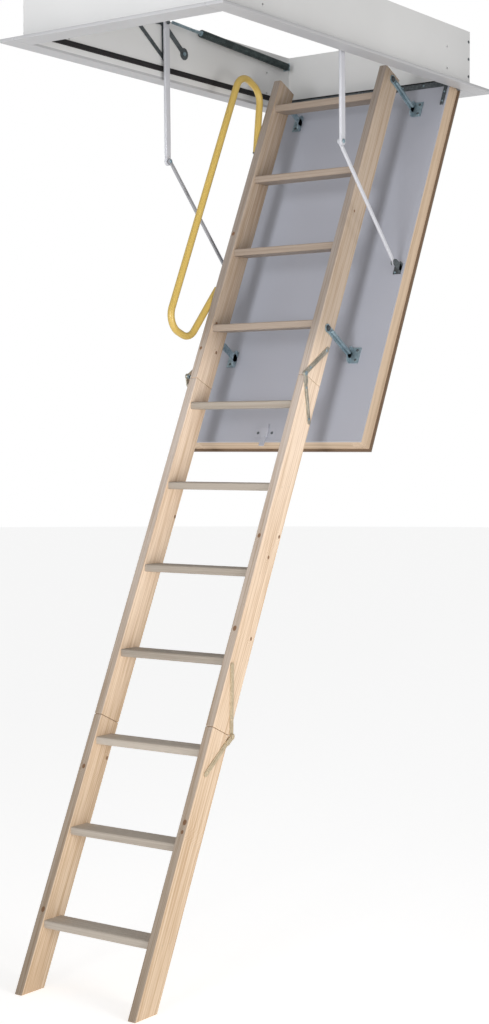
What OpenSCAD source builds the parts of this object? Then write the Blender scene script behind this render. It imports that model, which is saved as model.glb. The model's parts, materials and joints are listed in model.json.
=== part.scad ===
// Three-section folding attic ladder in its ceiling frame, shown open and down.
// X runs across the treads, Y towards the hatch hinge, Z up. The origin is the middle of the
// trim frame in the plane of the ceiling.

/* [Room] */
// Height of the ceiling above the floor
ceiling_h = 2760; // [2400:10:3000]
// Slope of the ladder and the open hatch from level, in degrees
slope = 65.2; // [62:0.1:68]

/* [Frame] */
// Clear width of the opening
open_w = 700; // [660:10:800]
// Clear length of the opening
open_l = 1338; // [1300:2:1450]
// Height of the box above the ceiling
box_h = 184; // [160:2:220]
// Thickness of the box boards
board_t = 18; // [15:1:25]
// Width of the trim along the two sides
side_band = 60; // [40:5:100]
// Width of the trim at the front
front_band = 80; // [50:5:120]
// Width of the trim at the hinge end
rear_band = 110; // [80:5:140]
// Thickness of the trim
trim_t = 10; // [6:1:14]
// Height of the black seal strip
seal_h = 18; // [8:1:24]
// Radius of the holes for the frame's fixing screws
fix_r = 4; // [3:0.5:6]
// Spacing of the fixing holes along the side boards
fix_y = 1040; // [800:20:1100]
// Height between the two rows of fixing holes
fix_z = 70; // [50:5:80]

/* [Hatch] */
// Thickness of each face panel
panel_t = 6; // [4:1:9]
// Thickness of the insulated middle
core_t = 50; // [30:2:56]
// Width of the wooden rails around the insulation
rail_w = 45; // [30:5:70]
// Gap between the hatch and the opening all round
hatch_gap = 4; // [3:0.5:6]
// Amount that the outer panel stands past the rails
lip = 8; // [5:1:12]

/* [Ladder] */
// Outside width across the stiles
ladder_w = 446; // [400:2:480]
// Thickness of a stile
stile_t = 28; // [22:1:32]
// Depth of a stile
stile_d = 88; // [80:1:100]
// Clear depth between the back of the stiles and the hatch
standoff = 117; // [100:1:130]
// Height of the lowest tread above the floor
first_rise = 197.2; // [180:1:240]
// Height of the highest tread below the ceiling
top_drop = 44.8; // [30:1:80]
// Thickness of a tread
tread_t = 23; // [18:1:28]
// Depth of a tread
tread_d = 78; // [70:1:84]
// Depth that a tread is let into a stile
housing = 8; // [5:1:12]
// Length of the ladder above the level of the ceiling, along the slope
top_reach = 50; // [20:5:80]
// Distance of the upper fold along the slope, above the level of the tread under it
fold_1_above = 86.9; // [70:1:100]
// Distance of the lower fold along the slope, above the level of the tread under it
fold_2_above = 71.5; // [60:1:90]

/* [Fittings] */
// Thickness of the steel straps and brackets
strap_t = 3; // [2:0.5:4]
// Width of the section hinge straps
strap_w = 16; // [12:1:22]
// Radius of the hinge pins
pin_r = 4; // [3:0.5:6]
// Radius of the handrail tube
rail_r = 11.5; // [9:0.5:14]
// Distance that the handrail stands in front of the ladder
rail_out = 161; // [120:1:180]
// Width of the upper arms
arm_w = 24; // [18:1:30]
// Thickness of the upper arms
arm_t = 10; // [6:1:12]
// Width of the lower links
link_w = 12; // [10:1:18]
// Radius of the spring
spring_r = 13; // [10:1:16]
// Running clearance of the pins, on the radius
run = 0.05; // [0.02:0.01:0.1]

/* [Hidden] */
$fn = 48;

eps = 0.5;          // overlap of a cutting tool past the face that it cuts
gap = 0.3;          // clearance between parts that only just miss
joint_gap = 1;      // gap between two ladder sections at a fold

// Frame places.
in_x = open_w / 2;
half_w = in_x + side_band;
half_l = (open_l + front_band + rear_band) / 2;
in_front = -half_l + front_band;
in_rear = half_l - rear_band;
trim_rebate = 2;
seal_z = 16;
seal_t = 5;
fix_low = 40;
screw_r = 5;
screw_h = 2.5;

// Hatch hinge: its axis lies in the gap between the hatch and the rear of the opening.
knuckle_r = 5;
hinge_y = in_rear - 7;
hinge_z = -4;
hinge_leaf_t = 2;
hinge_xs = [-250, 0, 250];
knuckle_w = 30;
knuckle_pitch = knuckle_w;
hinge_pin_r = 2;
hinge_flange = 18;
strap_down = 90;    // reach of the corner straps down the hatch
hatch_t = core_t + 2 * panel_t;

// Slope frame: Y is depth behind the ladder's front face, Z runs up the slope, and both are
// zero where the front face meets the ceiling plane.
front_to_hatch = stile_d + standoff;
axis_depth = front_to_hatch + hatch_t - trim_t - hinge_z;
front_y = hinge_y - (axis_depth + hinge_z * cos(slope)) / sin(slope);
axis_up = (hinge_y - front_y) * cos(slope) + hinge_z * sin(slope);
hatch_top = axis_up - knuckle_r - hinge_leaf_t;
hatch_front = in_front + hatch_gap;
hatch_bottom = axis_up - (hinge_y - hatch_front);
panel_half = in_x - hatch_gap;
core_half = panel_half - lip;
core_bottom = hatch_bottom + lip;
core_depth = front_to_hatch + panel_t;

// Ladder places along the slope.
foot_up = -ceiling_h / sin(slope);
half_ladder = ladder_w / 2;
inside_x = half_ladder - stile_t;
tread_set = 5;      // depth of a tread's front edge behind the stile's front edge, measured level
screw_ats = [0.3, 0.7];
tread_screw_r = 3.5;
screw_deep = 1.5;
steps_bottom = [0, 1, 2];
steps_middle = [3, 4, 5, 6];
steps_top = [7, 8, 9, 10];
rise = (ceiling_h - first_rise - top_drop) / steps_top[3];
function tread_top(k) = first_rise + k * rise - ceiling_h;
fold_1 = -tread_top(steps_middle[3]) / sin(slope) - fold_1_above;
fold_2 = -tread_top(steps_bottom[2]) / sin(slope) - fold_2_above;

// Fold hinges: the upper pivot is just in front of the stiles, the lower just behind.
pivot_off = 7;
eye_r = 10;
layer_gap = 0.5;
layer_1 = half_ladder;
layer_2 = half_ladder + strap_t + layer_gap;
strap_reach_1 = 125;
strap_reach_2a = 190;
strap_reach_2b = 135;
rivet_r = 4;
pivot_1 = [-pivot_off, -fold_1];
pivot_2 = [stile_d + pivot_off, -fold_2];
strap_back = 12;    // distance of a strap's far end from the stile's edge

// Handrail outline, as [depth, distance up the slope], with the radius of each bend.
rail_line = [[26, -215], [-38, -22], [-rail_out, -22],
    [-rail_out, 106 - fold_1], [-40, 117 - fold_1], [26, 337 - fold_1]];
rail_bend = 56;
rail_x = -(half_ladder + rail_r + gap);

// Folding arms: the pivot on the board, the elbow, and the foot on the hatch.
arm_x = in_x - 2 * arm_t;
arm_pivot = [in_rear - 718, box_h - 11];
arm_elbow = arm_pivot + [6, -446];
arm_pin_r = 5;
arm_eye_r = 13;
link_t = 8;
link_x = arm_x - link_t - 1;
foot_off = 40;
link_foot_l = 38;
link_foot_w = 28;
foot_up_at = -597;
foot_at = [
    front_y + (front_to_hatch - foot_off) * sin(slope) + foot_up_at * cos(slope),
    -(front_to_hatch - foot_off) * cos(slope) + foot_up_at * sin(slope)
];
brace_front = arm_pivot + [-147, -10];
brace_low = [arm_pivot[0] + 5, seal_z + seal_h + 25];
brace_rear = arm_pivot + [110, -81];

// Springs along the side boards.
spring_x = in_x - spring_r - 2;
spring_front = [in_rear - 536, box_h - 13];
spring_rear = [in_rear - 32, box_h - 38];
spring_tilt = atan((spring_rear[1] - spring_front[1]) / (spring_rear[0] - spring_front[0]));
spring_len = norm(spring_rear - spring_front);
spring_bore = 9;
rod_r = 5;
rod_out = 150;
plug_len = 34;

// Latch.
latch_x = -29;
latch_w = 76;
latch_l = 30;
latch_h = 9;
latch_bolt_w = 18;
latch_bolt_t = 5;
latch_out = 8;
latch_up = hatch_bottom + 38;
strike_z = hatch_t - trim_t + latch_bolt_t / 2 + 1;

// Ladder brackets on the hatch, by the height of their bolts along the slope.
bracket_ups = [26, 184 - fold_1];
bracket_depth = 48;
bracket_drop = 16;
bracket_foot_l = 56;
bracket_foot_w = 34;
bolt_r = 4;
bolt_from = inside_x + housing + 2;

wood = "BurlyWood";
pale = "Gainsboro";
steel = "SlateGray";
dark_steel = "DimGray";
zinc = "DarkKhaki";
white = "WhiteSmoke";

// Places children given in the slope frame.
module on_slope() {
    translate([0, front_y, 0]) rotate([slope - 90, 0, 0]) children();
}

// Extrudes a flat outline drawn as [Y, Z] along X, from x0.
module across(x0, t) {
    translate([x0, 0, 0]) rotate([90, 0, 90]) linear_extrude(t) children();
}

// The same on the left (-1) or right (1) side, with x0 measured outwards.
module across_side(side, x0, t) {
    across(side > 0 ? x0 : -x0 - t, t) children();
}

// A flat bar outline with round ends.
module bar(a, b, w, r1, r2) {
    d = b - a;
    translate(a) rotate(atan2(d[1], d[0])) translate([0, -w / 2]) square([norm(d), w]);
    translate(a) circle(r1);
    translate(b) circle(r2);
}

// A round pin along X at [Y, Z], from |X| = x0 outwards.
module pin_x(side, at, r, x0, len) {
    translate([side > 0 ? x0 : -x0 - len, at[0], at[1]]) rotate([0, 90, 0]) cylinder(r = r, h = len);
}

// ---- Frame ----

module side_board(side) {
    color(pale) difference() {
        translate([side > 0 ? in_x : -in_x - board_t, in_front - board_t, -trim_rebate])
            cube([board_t, open_l + 2 * board_t, box_h + trim_rebate]);
        for (y = [-fix_y / 2, fix_y / 2], z = [fix_low, fix_low + fix_z])
            pin_x(side, [y, z], fix_r, in_x - eps, board_t + 2 * eps);
    }
}

module end_board(y) {
    color(pale) difference() {
        translate([-in_x, y, -trim_rebate]) cube([open_w, board_t, box_h + trim_rebate]);
        if (y < 0) latch_pocket();
    }
}

// Pocket behind the strike, where the latch bolt goes when the hatch is shut.
module latch_pocket() {
    translate([latch_x - latch_bolt_w / 2 - 2, in_front - latch_out - 4, strike_z - latch_bolt_t])
        cube([latch_bolt_w + 4, latch_out + 4 + eps, 2 * latch_bolt_t]);
}

// Rebate in the top of the trim, which the lower edges of the box boards stand in.
module box_rebate() {
    translate([-in_x - board_t, in_front - board_t, -trim_rebate])
        cube([open_w + 2 * board_t, open_l + 2 * board_t, trim_rebate + eps]);
}

module trim_side(side) {
    color(white) difference() {
        translate([side > 0 ? in_x : -half_w, -half_l, -trim_t]) cube([side_band, 2 * half_l, trim_t]);
        box_rebate();
    }
}

module trim_end(y0, y1) {
    color(white) difference() {
        translate([-in_x, y0, -trim_t]) cube([open_w, y1 - y0, trim_t]);
        box_rebate();
    }
}

module frame_seal() {
    color("Black") difference() {
        translate([-in_x, in_front, seal_z]) cube([open_w, open_l, seal_h]);
        translate([-in_x + seal_t, in_front + seal_t, seal_z - eps])
            cube([open_w - 2 * seal_t, open_l - 2 * seal_t, seal_h + 2 * eps]);
    }
}

// Screws that hold the side boards to the end boards, seen as heads outside the box.
module frame_screws() {
    color(dark_steel)
    for (side = [-1, 1], y = [in_front - board_t / 2, in_rear + board_t / 2], z = [35, 92, 149])
        pin_x(side, [y, z], screw_r, in_x + board_t, screw_h);
}

// ---- Arm brackets and springs ----

module arm_bracket(side) {
    color(dark_steel) {
        difference() {
            across_side(side, in_x - strap_t, strap_t) {
                bar(brace_front, arm_pivot, 14, 9, 15);
                bar(brace_front, brace_low, 14, 9, 9);
                bar(brace_low, arm_pivot, 16, 9, 15);
                bar(arm_pivot, brace_rear, 18, 15, 20);
            }
            for (p = [brace_front, brace_low, brace_rear])
                pin_x(side, p, 3, in_x - strap_t - eps, strap_t + 2 * eps);
        }
        pin_x(side, arm_pivot, 11, arm_x + arm_t + gap, in_x - strap_t - arm_x - arm_t - gap);
        pin_x(side, arm_pivot, arm_pin_r, arm_x - 2, arm_t + 2 + gap);
        pin_x(side, arm_pivot, 8, arm_x - 5, 5 - gap);
    }
}

// Places children drawn along +Z on the line of the springs, from the front end rearwards.
module on_spring(side) {
    translate([side * spring_x, spring_front[0], spring_front[1]])
        rotate([spring_tilt, 0, 0]) rotate([-90, 0, 0]) children();
}

module spring(side) {
    color(dark_steel) on_spring(side) difference() {
        cylinder(r = spring_r, h = spring_len);
        translate([0, 0, -eps]) cylinder(r = spring_bore, h = spring_len + 2 * eps);
    }
}

module spring_rods() {
    color(steel) for (side = [-1, 1]) on_spring(side) {
        translate([0, 0, -rod_out]) cylinder(r = rod_r, h = rod_out + plug_len);
        translate([0, 0, 2]) cylinder(r = spring_bore - run, h = plug_len);
    }
}

// Rear end of each spring: a plug on an ear that is screwed to the side board.
module spring_anchors() {
    color(steel) for (side = [-1, 1]) {
        on_spring(side) translate([0, 0, spring_len - 24]) cylinder(r = spring_bore, h = 24 + 6);
        on_spring(side) translate([side > 0 ? -spring_bore : -2 - spring_r, -spring_r, spring_len + gap])
            cube([spring_r + 2 + spring_bore, 2 * spring_r, 5]);
    }
}

// ---- Hatch hinge ----

// Children stand at the hinge axis, in frame directions.
module at_hinge() {
    translate([0, hinge_y, hinge_z]) children();
}

module knuckle(x, w) {
    difference() {
        translate([x - w / 2, 0, 0]) rotate([0, 90, 0]) cylinder(r = knuckle_r, h = w);
        translate([x - w / 2 - eps, 0, 0]) rotate([0, 90, 0])
            cylinder(r = hinge_pin_r + run, h = w + 2 * eps);
    }
}

module hatch_hinge_fixed() {
    leaf_top = seal_z - 1 - hinge_z;
    color(dark_steel) at_hinge() for (x = hinge_xs, s = [-1, 1]) {
        knuckle(x + s * knuckle_pitch, knuckle_w - 1);
        translate([x + s * knuckle_pitch - (knuckle_w - 1) / 2, knuckle_r, -2])
            cube([knuckle_w - 1, hinge_leaf_t, leaf_top + 2]);
        translate([x + s * knuckle_pitch - (knuckle_w - 1) / 2, 3, -2])
            cube([knuckle_w - 1, knuckle_r - 2, 4]);
    }
}

// The moving leaf lies on the hatch's end and turns down over its inner face as a long angle.
module hatch_hinge_moving() {
    color(dark_steel) on_slope() {
        translate([-core_half, front_to_hatch - hinge_leaf_t, hatch_top])
            cube([2 * core_half, axis_depth - 3 - front_to_hatch + hinge_leaf_t, hinge_leaf_t]);
        translate([-core_half, front_to_hatch - hinge_leaf_t, hatch_top - hinge_flange])
            cube([2 * core_half, hinge_leaf_t, hinge_flange + 1]);
        for (side = [-1, 1])
            translate([side * (core_half - 10) - 6, front_to_hatch - strap_t, hatch_top - strap_down])
                cube([12, strap_t, strap_down + 1]);
        for (x = hinge_xs) {
            translate([0, axis_depth, axis_up]) knuckle(x, knuckle_w);
            difference() {
                translate([x - knuckle_w / 2, axis_depth - knuckle_r + 1, hatch_top + 1])
                    cube([knuckle_w, knuckle_r - 2, axis_up - hatch_top - 1]);
                translate([x - knuckle_w / 2 - eps, axis_depth, axis_up]) rotate([0, 90, 0])
                    cylinder(r = hinge_pin_r + run, h = knuckle_w + 2 * eps);
            }
        }
    }
}

module hatch_hinge_pins() {
    color(steel) at_hinge() for (x = hinge_xs)
        translate([x - 1.5 * knuckle_w, 0, 0]) rotate([0, 90, 0])
            cylinder(r = hinge_pin_r, h = 3 * knuckle_w);
}

// ---- Hatch ----

module hatch_panel(half, depth, low) {
    color(white) on_slope()
        translate([-half, depth, low]) cube([2 * half, panel_t, hatch_top - low]);
}

module hatch_rail_side(side) {
    color(wood) on_slope() translate([side > 0 ? core_half - rail_w : -core_half, core_depth, core_bottom])
        cube([rail_w, core_t, hatch_top - core_bottom]);
}

module hatch_rail_end(low) {
    color(wood) on_slope() translate([-core_half + rail_w, core_depth, low])
        cube([2 * (core_half - rail_w), core_t, rail_w]);
}

module hatch_insulation() {
    color("Khaki") on_slope() translate([-core_half + rail_w, core_depth, core_bottom + rail_w])
        cube([2 * (core_half - rail_w), core_t, hatch_top - core_bottom - 2 * rail_w]);
}

// ---- Latch ----

module latch_case() {
    color(steel) on_slope() difference() {
        translate([latch_x - latch_w / 2, front_to_hatch - latch_h, latch_up - latch_l / 2])
            cube([latch_w, latch_h, latch_l]);
        translate([latch_x - latch_bolt_w / 2 - gap, front_to_hatch - latch_bolt_t - 2, latch_up - latch_l])
            cube([latch_bolt_w + 2 * gap, latch_bolt_t + 2 * gap, 2 * latch_l]);
        for (s = [-1, 1]) translate([latch_x + s * 27, front_to_hatch - latch_h - eps, latch_up])
            rotate([-90, 0, 0]) cylinder(r = 3, h = 3);
    }
}

module latch_bolt() {
    color(zinc) on_slope()
        translate([latch_x - latch_bolt_w / 2, front_to_hatch - latch_bolt_t - 1.7, hatch_bottom - latch_out])
            cube([latch_bolt_w, latch_bolt_t, latch_up + latch_l / 2 + 14 - hatch_bottom + latch_out]);
}

module latch_strike() {
    color(zinc) difference() {
        translate([latch_x - 30, in_front, strike_z - 12]) cube([60, 2, 24]);
        translate([latch_x - latch_bolt_w / 2 - 2, in_front - eps, strike_z - latch_bolt_t])
            cube([latch_bolt_w + 4, 2 + 2 * eps, 2 * latch_bolt_t]);
    }
}

// ---- Arms and links ----

module upper_arm(side) {
    color(white) {
        difference() {
            across_side(side, arm_x, arm_t) bar(arm_pivot, arm_elbow, arm_w, arm_eye_r, arm_eye_r);
            pin_x(side, arm_pivot, arm_pin_r + run, arm_x - eps, arm_t + 2 * eps);
        }
        pin_x(side, arm_elbow, arm_pin_r, arm_x - 0.5, 0.5);
        pin_x(side, arm_elbow, 7, arm_x + arm_t, 3);
    }
}

module lower_link(side) {
    color(white) {
        difference() {
            across_side(side, link_x, link_t) bar(arm_elbow, foot_at, link_w, 9, 9);
            pin_x(side, foot_at, arm_pin_r + run, link_x - eps, link_t + 2 * eps);
        }
        pin_x(side, arm_elbow, 6, link_x - 3, 3);
    }
}

module link_bracket(side) {
    ear_x = link_x + link_t + gap;
    foot_depth = front_to_hatch - foot_off;
    color(dark_steel) {
        on_slope() {
            across_side(side, ear_x, strap_t)
                bar([foot_depth, foot_up_at], [front_to_hatch - 12, foot_up_at], 24, 12, 12);
            across_side(side, ear_x, strap_t)
                translate([front_to_hatch - 16, foot_up_at - link_foot_l / 2]) square([16, link_foot_l]);
            translate([side > 0 ? ear_x + strap_t - link_foot_w : -ear_x - strap_t,
                       front_to_hatch - strap_t, foot_up_at - link_foot_l / 2])
                cube([link_foot_w, strap_t, link_foot_l]);
        }
        pin_x(side, foot_at, arm_pin_r, link_x - 1, link_t + 1 + gap);
        pin_x(side, foot_at, 8, link_x - 4, 4 - gap);
    }
}

// ---- Ladder brackets ----

module ladder_bracket(side, up) {
    foot = [front_to_hatch - 14, up - bracket_drop];
    color(steel) on_slope() difference() {
        union() {
            across_side(side, half_ladder, strap_t) {
                bar([bracket_depth, up], foot, 24, 14, 14);
                translate([foot[0] - 8, foot[1] - bracket_foot_l / 2]) square([22, bracket_foot_l]);
            }
            across_side(side, half_ladder + strap_t, 8)
                bar([bracket_depth + 22, up - 2], [foot[0] - 8, foot[1] + 1], 10, 5, 5);
            translate([side > 0 ? half_ladder : -half_ladder - bracket_foot_w,
                       front_to_hatch - strap_t, foot[1] - bracket_foot_l / 2])
                cube([bracket_foot_w, strap_t, bracket_foot_l]);
        }
        pin_x(side, [bracket_depth, up], bolt_r + run, half_ladder - eps, strap_t + 2 * eps);
    }
}

// Coach bolts that stop short of the housings of the treads.
module ladder_bracket_bolts() {
    color(dark_steel) on_slope() for (side = [-1, 1], up = bracket_ups) {
        pin_x(side, [bracket_depth, up], bolt_r, bolt_from, half_ladder + strap_t - bolt_from);
        pin_x(side, [bracket_depth, up], 2 * bolt_r, half_ladder + strap_t, 5);
    }
}

// ---- Ladder ----

// One stile from low to high along the slope, housed for its treads.
module stile(side, low, high, steps) {
    color(wood) difference() {
        on_slope() translate([side > 0 ? inside_x : -half_ladder, 0, low])
            cube([stile_t, stile_d, high - low]);
        for (k = steps) tread_body(k);
        translate([-half_ladder, -ceiling_h, -2 * ceiling_h]) cube([ladder_w, ceiling_h, ceiling_h]);
        on_slope() for (up = bracket_ups)
            pin_x(side, [bracket_depth, up], bolt_r + run, bolt_from, half_ladder + eps - bolt_from);
        for (k = steps, at = screw_ats)
            pin_x(side, tread_screw(k, at), tread_screw_r, half_ladder - screw_deep, screw_deep + eps);
    }
}

// One tread, level, let into both stiles.
module tread_body(k) {
    top = tread_top(k);
    y = front_y + top / tan(slope) + tread_set;
    half = inside_x + housing;
    translate([-half, y, top - tread_t]) cube([2 * half, tread_d, tread_t]);
}

module treads(steps) {
    color(wood) for (k = steps) tread_body(k);
}

// Place of a screw in the side of the ladder, at a share of a tread's depth.
function tread_screw(k, at) =
    let (top = tread_top(k))
    [front_y + top / tan(slope) + tread_set + at * tread_d, top - tread_t / 2];

// Two screws through each stile into each end of each tread, with their heads let in flush.
module tread_screws(steps) {
    color(dark_steel) for (k = steps, side = [-1, 1], at = screw_ats)
        pin_x(side, tread_screw(k, at), tread_screw_r, half_ladder - screw_deep, screw_deep);
}

// ---- Fold hinges ----

// A strap from its eye across the side of a stile. The eye of a lower strap lies over the
// upper one, so its strap steps in to the stile.
module fold_strap(side, pivot, far, over) {
    d = (far - pivot) / norm(far - pivot);
    step = pivot + 26 * d;
    end_r = strap_w / 2 + 0.5;
    difference() {
        union() {
            if (over) {
                across_side(side, layer_2, strap_t) bar(pivot, step, strap_w, eye_r, end_r);
                across_side(side, layer_1, layer_2 - layer_1) bar(step, step + d, strap_w, end_r, end_r);
                across_side(side, layer_1, strap_t) bar(step, far, strap_w, end_r, end_r);
            } else
                across_side(side, layer_1, strap_t) bar(pivot, far, strap_w, eye_r, end_r);
        }
        pin_x(side, pivot, pin_r + run, layer_1 - eps, layer_2 + strap_t + 2 * eps - layer_1);
    }
    for (t = [0.42, 0.92])
        pin_x(side, pivot + t * (far - pivot), rivet_r, layer_1 + strap_t, 1.5);
}

module fold_straps(pivot, far, over) {
    color(zinc) on_slope() for (side = [-1, 1]) fold_strap(side, pivot, far, over);
}

module fold_pins(pivot) {
    color(steel) on_slope() for (side = [-1, 1]) {
        pin_x(side, pivot, pin_r, layer_1 - 3, layer_2 + strap_t + gap + 3 - layer_1);
        pin_x(side, pivot, 7, layer_2 + strap_t + gap, 2);
        pin_x(side, pivot, 7, layer_1 - 3, 3 - run);
    }
}

// ---- Handrail ----

function unit(v) = v / norm(v);
function half_turn(line, i) = acos(unit(line[i - 1] - line[i]) * unit(line[i + 1] - line[i])) / 2;

// Points along a line of straight runs and round bends, with steps rings round each bend.
function bent_line(line, bend, steps) = concat(
    [line[0]],
    [for (i = [1 : len(line) - 2])
        let (h = half_turn(line, i),
             v = unit(line[i - 1] - line[i]),
             w = unit(line[i + 1] - line[i]),
             c = line[i] + bend / sin(h) * unit(v + w),
             s = line[i] + bend / tan(h) * v - c,
             e = line[i] + bend / tan(h) * w - c,
             turn = sign(s[0] * e[1] - s[1] * e[0]) * (180 - 2 * h))
        for (k = [0 : steps])
            let (a = atan2(s[1], s[0]) + turn * k / steps)
            c + bend * [cos(a), sin(a)]],
    [line[len(line) - 1]]
);

// A tube of round section swept along points in the plane X = 0.
module bent_tube(line, bend, r, sides = 16, steps = 10) {
    pts = bent_line(line, bend, steps);
    n = len(pts);
    function heading(i) = unit(pts[min(i + 1, n - 1)] - pts[max(i - 1, 0)]);
    polyhedron(
        points = [for (i = [0 : n - 1], k = [0 : sides - 1])
            let (t = heading(i), a = 360 * k / sides)
            [r * cos(a), pts[i][0] - t[1] * r * sin(a), pts[i][1] + t[0] * r * sin(a)]],
        faces = concat(
            [[for (k = [0 : sides - 1]) k]],
            [for (i = [0 : n - 2], k = [0 : sides - 1]) let (m = (k + 1) % sides)
                [i * sides + k, (i + 1) * sides + k, (i + 1) * sides + m, i * sides + m]],
            [[for (k = [sides - 1 : -1 : 0]) (n - 1) * sides + k]]
        )
    );
}

module handrail() {
    color("Gold") on_slope() translate([rail_x, 0, 0]) bent_tube(rail_line, rail_bend, rail_r);
}

// Plates behind the two ends of the tube, which screw to the stile's side.
module handrail_clips() {
    color(steel) on_slope() for (at = [rail_line[0], rail_line[len(rail_line) - 1]])
        pin_x(-1, at, rail_r + 5, half_ladder, gap);
}

side_board(-1);  // frame_board_left
side_board(1);  // frame_board_right
end_board(in_front - board_t);  // frame_board_front
end_board(in_rear);  // frame_board_rear
trim_side(-1);  // trim_left
trim_side(1);  // trim_right
trim_end(-half_l, in_front);  // trim_front
trim_end(in_rear, half_l);  // trim_rear
frame_seal();
frame_screws();
arm_bracket(-1);  // arm_bracket_left
arm_bracket(1);  // arm_bracket_right
spring(-1);  // spring_left
spring(1);  // spring_right
spring_rods();
spring_anchors();
hatch_hinge_fixed();
hatch_hinge_moving();
hatch_hinge_pins();
hatch_panel(core_half, front_to_hatch, core_bottom);  // hatch_inner_panel
hatch_panel(panel_half, core_depth + core_t, hatch_bottom);  // hatch_outer_panel
hatch_rail_side(-1);  // hatch_rail_left
hatch_rail_side(1);  // hatch_rail_right
hatch_rail_end(hatch_top - rail_w);  // hatch_rail_top
hatch_rail_end(core_bottom);  // hatch_rail_bottom
hatch_insulation();
latch_case();
latch_bolt();
latch_strike();
link_bracket(-1);  // link_bracket_left
link_bracket(1);  // link_bracket_right
ladder_bracket(-1, bracket_ups[0]);  // ladder_bracket_upper_left
ladder_bracket(1, bracket_ups[0]);  // ladder_bracket_upper_right
ladder_bracket(-1, bracket_ups[1]);  // ladder_bracket_lower_left
ladder_bracket(1, bracket_ups[1]);  // ladder_bracket_lower_right
ladder_bracket_bolts();
stile(-1, -fold_1 + joint_gap / 2, top_reach, steps_top);  // stile_top_left
stile(1, -fold_1 + joint_gap / 2, top_reach, steps_top);  // stile_top_right
stile(-1, -fold_2 + joint_gap / 2, -fold_1 - joint_gap / 2, steps_middle);  // stile_middle_left
stile(1, -fold_2 + joint_gap / 2, -fold_1 - joint_gap / 2, steps_middle);  // stile_middle_right
stile(-1, foot_up - stile_d, -fold_2 - joint_gap / 2, steps_bottom);  // stile_bottom_left
stile(1, foot_up - stile_d, -fold_2 - joint_gap / 2, steps_bottom);  // stile_bottom_right
treads(steps_top);  // treads_top
treads(steps_middle);  // treads_middle
treads(steps_bottom);  // treads_bottom
tread_screws(steps_top);  // tread_screws_top
tread_screws(steps_middle);  // tread_screws_middle
tread_screws(steps_bottom);  // tread_screws_bottom
fold_straps(pivot_1, [stile_d - strap_back, -fold_1 + strap_reach_1], false);  // fold_1_upper_straps
fold_straps(pivot_1, [stile_d - strap_back, -fold_1 - strap_reach_1], true);  // fold_1_lower_straps
fold_pins(pivot_1);  // fold_1_pins
fold_straps(pivot_2, [strap_back, -fold_2 + strap_reach_2a], false);  // fold_2_upper_straps
fold_straps(pivot_2, [strap_back + 10, -fold_2 - strap_reach_2b], true);  // fold_2_lower_straps
fold_pins(pivot_2);  // fold_2_pins
handrail();
handrail_clips();
upper_arm(-1);  // upper_arm_left
upper_arm(1);  // upper_arm_right
lower_link(-1);  // lower_link_left
lower_link(1);  // lower_link_right
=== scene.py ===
"""A folding attic ladder in its ceiling frame, finished for display.

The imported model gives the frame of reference: X runs across the treads, Y towards the hatch
hinge and Z up, in metres, with the origin in the middle of the trim at the ceiling.
"""

from __future__ import annotations

import json
import logging
from dataclasses import dataclass, field
from enum import Enum
from math import asin, atan2, cos, hypot, pi, radians, sin, tan
from typing import Any, Iterable, Sequence

import bmesh
import bpy
from mathutils import Matrix, Vector


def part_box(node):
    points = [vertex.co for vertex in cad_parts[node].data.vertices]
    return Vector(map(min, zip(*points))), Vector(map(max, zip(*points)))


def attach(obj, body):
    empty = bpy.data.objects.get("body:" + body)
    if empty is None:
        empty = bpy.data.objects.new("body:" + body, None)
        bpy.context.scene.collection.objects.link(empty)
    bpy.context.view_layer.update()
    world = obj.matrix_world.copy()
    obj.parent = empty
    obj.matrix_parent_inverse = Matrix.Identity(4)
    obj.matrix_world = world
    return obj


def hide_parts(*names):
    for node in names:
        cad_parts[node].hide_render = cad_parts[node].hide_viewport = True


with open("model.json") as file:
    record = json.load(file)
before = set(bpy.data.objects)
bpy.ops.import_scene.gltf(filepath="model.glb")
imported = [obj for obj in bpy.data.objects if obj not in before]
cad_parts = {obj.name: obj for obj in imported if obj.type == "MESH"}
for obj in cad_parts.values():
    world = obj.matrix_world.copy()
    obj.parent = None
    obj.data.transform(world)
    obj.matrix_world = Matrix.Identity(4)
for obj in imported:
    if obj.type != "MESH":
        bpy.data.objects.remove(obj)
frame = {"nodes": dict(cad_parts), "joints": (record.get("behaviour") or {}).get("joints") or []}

log = logging.getLogger("attic_ladder")

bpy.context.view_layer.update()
MM = 0.001

Colour = tuple[float, float, float]
Pair = tuple[float, float]
Finish = bpy.types.Material


class Body(Enum):
    """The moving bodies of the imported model."""

    FRAME = "frame"
    HATCH = "hatch"
    MIDDLE = "middle_section"
    BOTTOM = "bottom_section"
    ARMS = "upper_arms"
    LINKS = "lower_links"
    RODS = "spring_rods"
    BOLT = "latch_bolt"


class Side(Enum):
    """The two sides of the ladder, as the sign of X."""

    LEFT = -1
    RIGHT = 1

    @property
    def word(self) -> str:
        """The side's name in a piece's name."""
        return self.name.lower()


# ---- Shader graph ----


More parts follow.
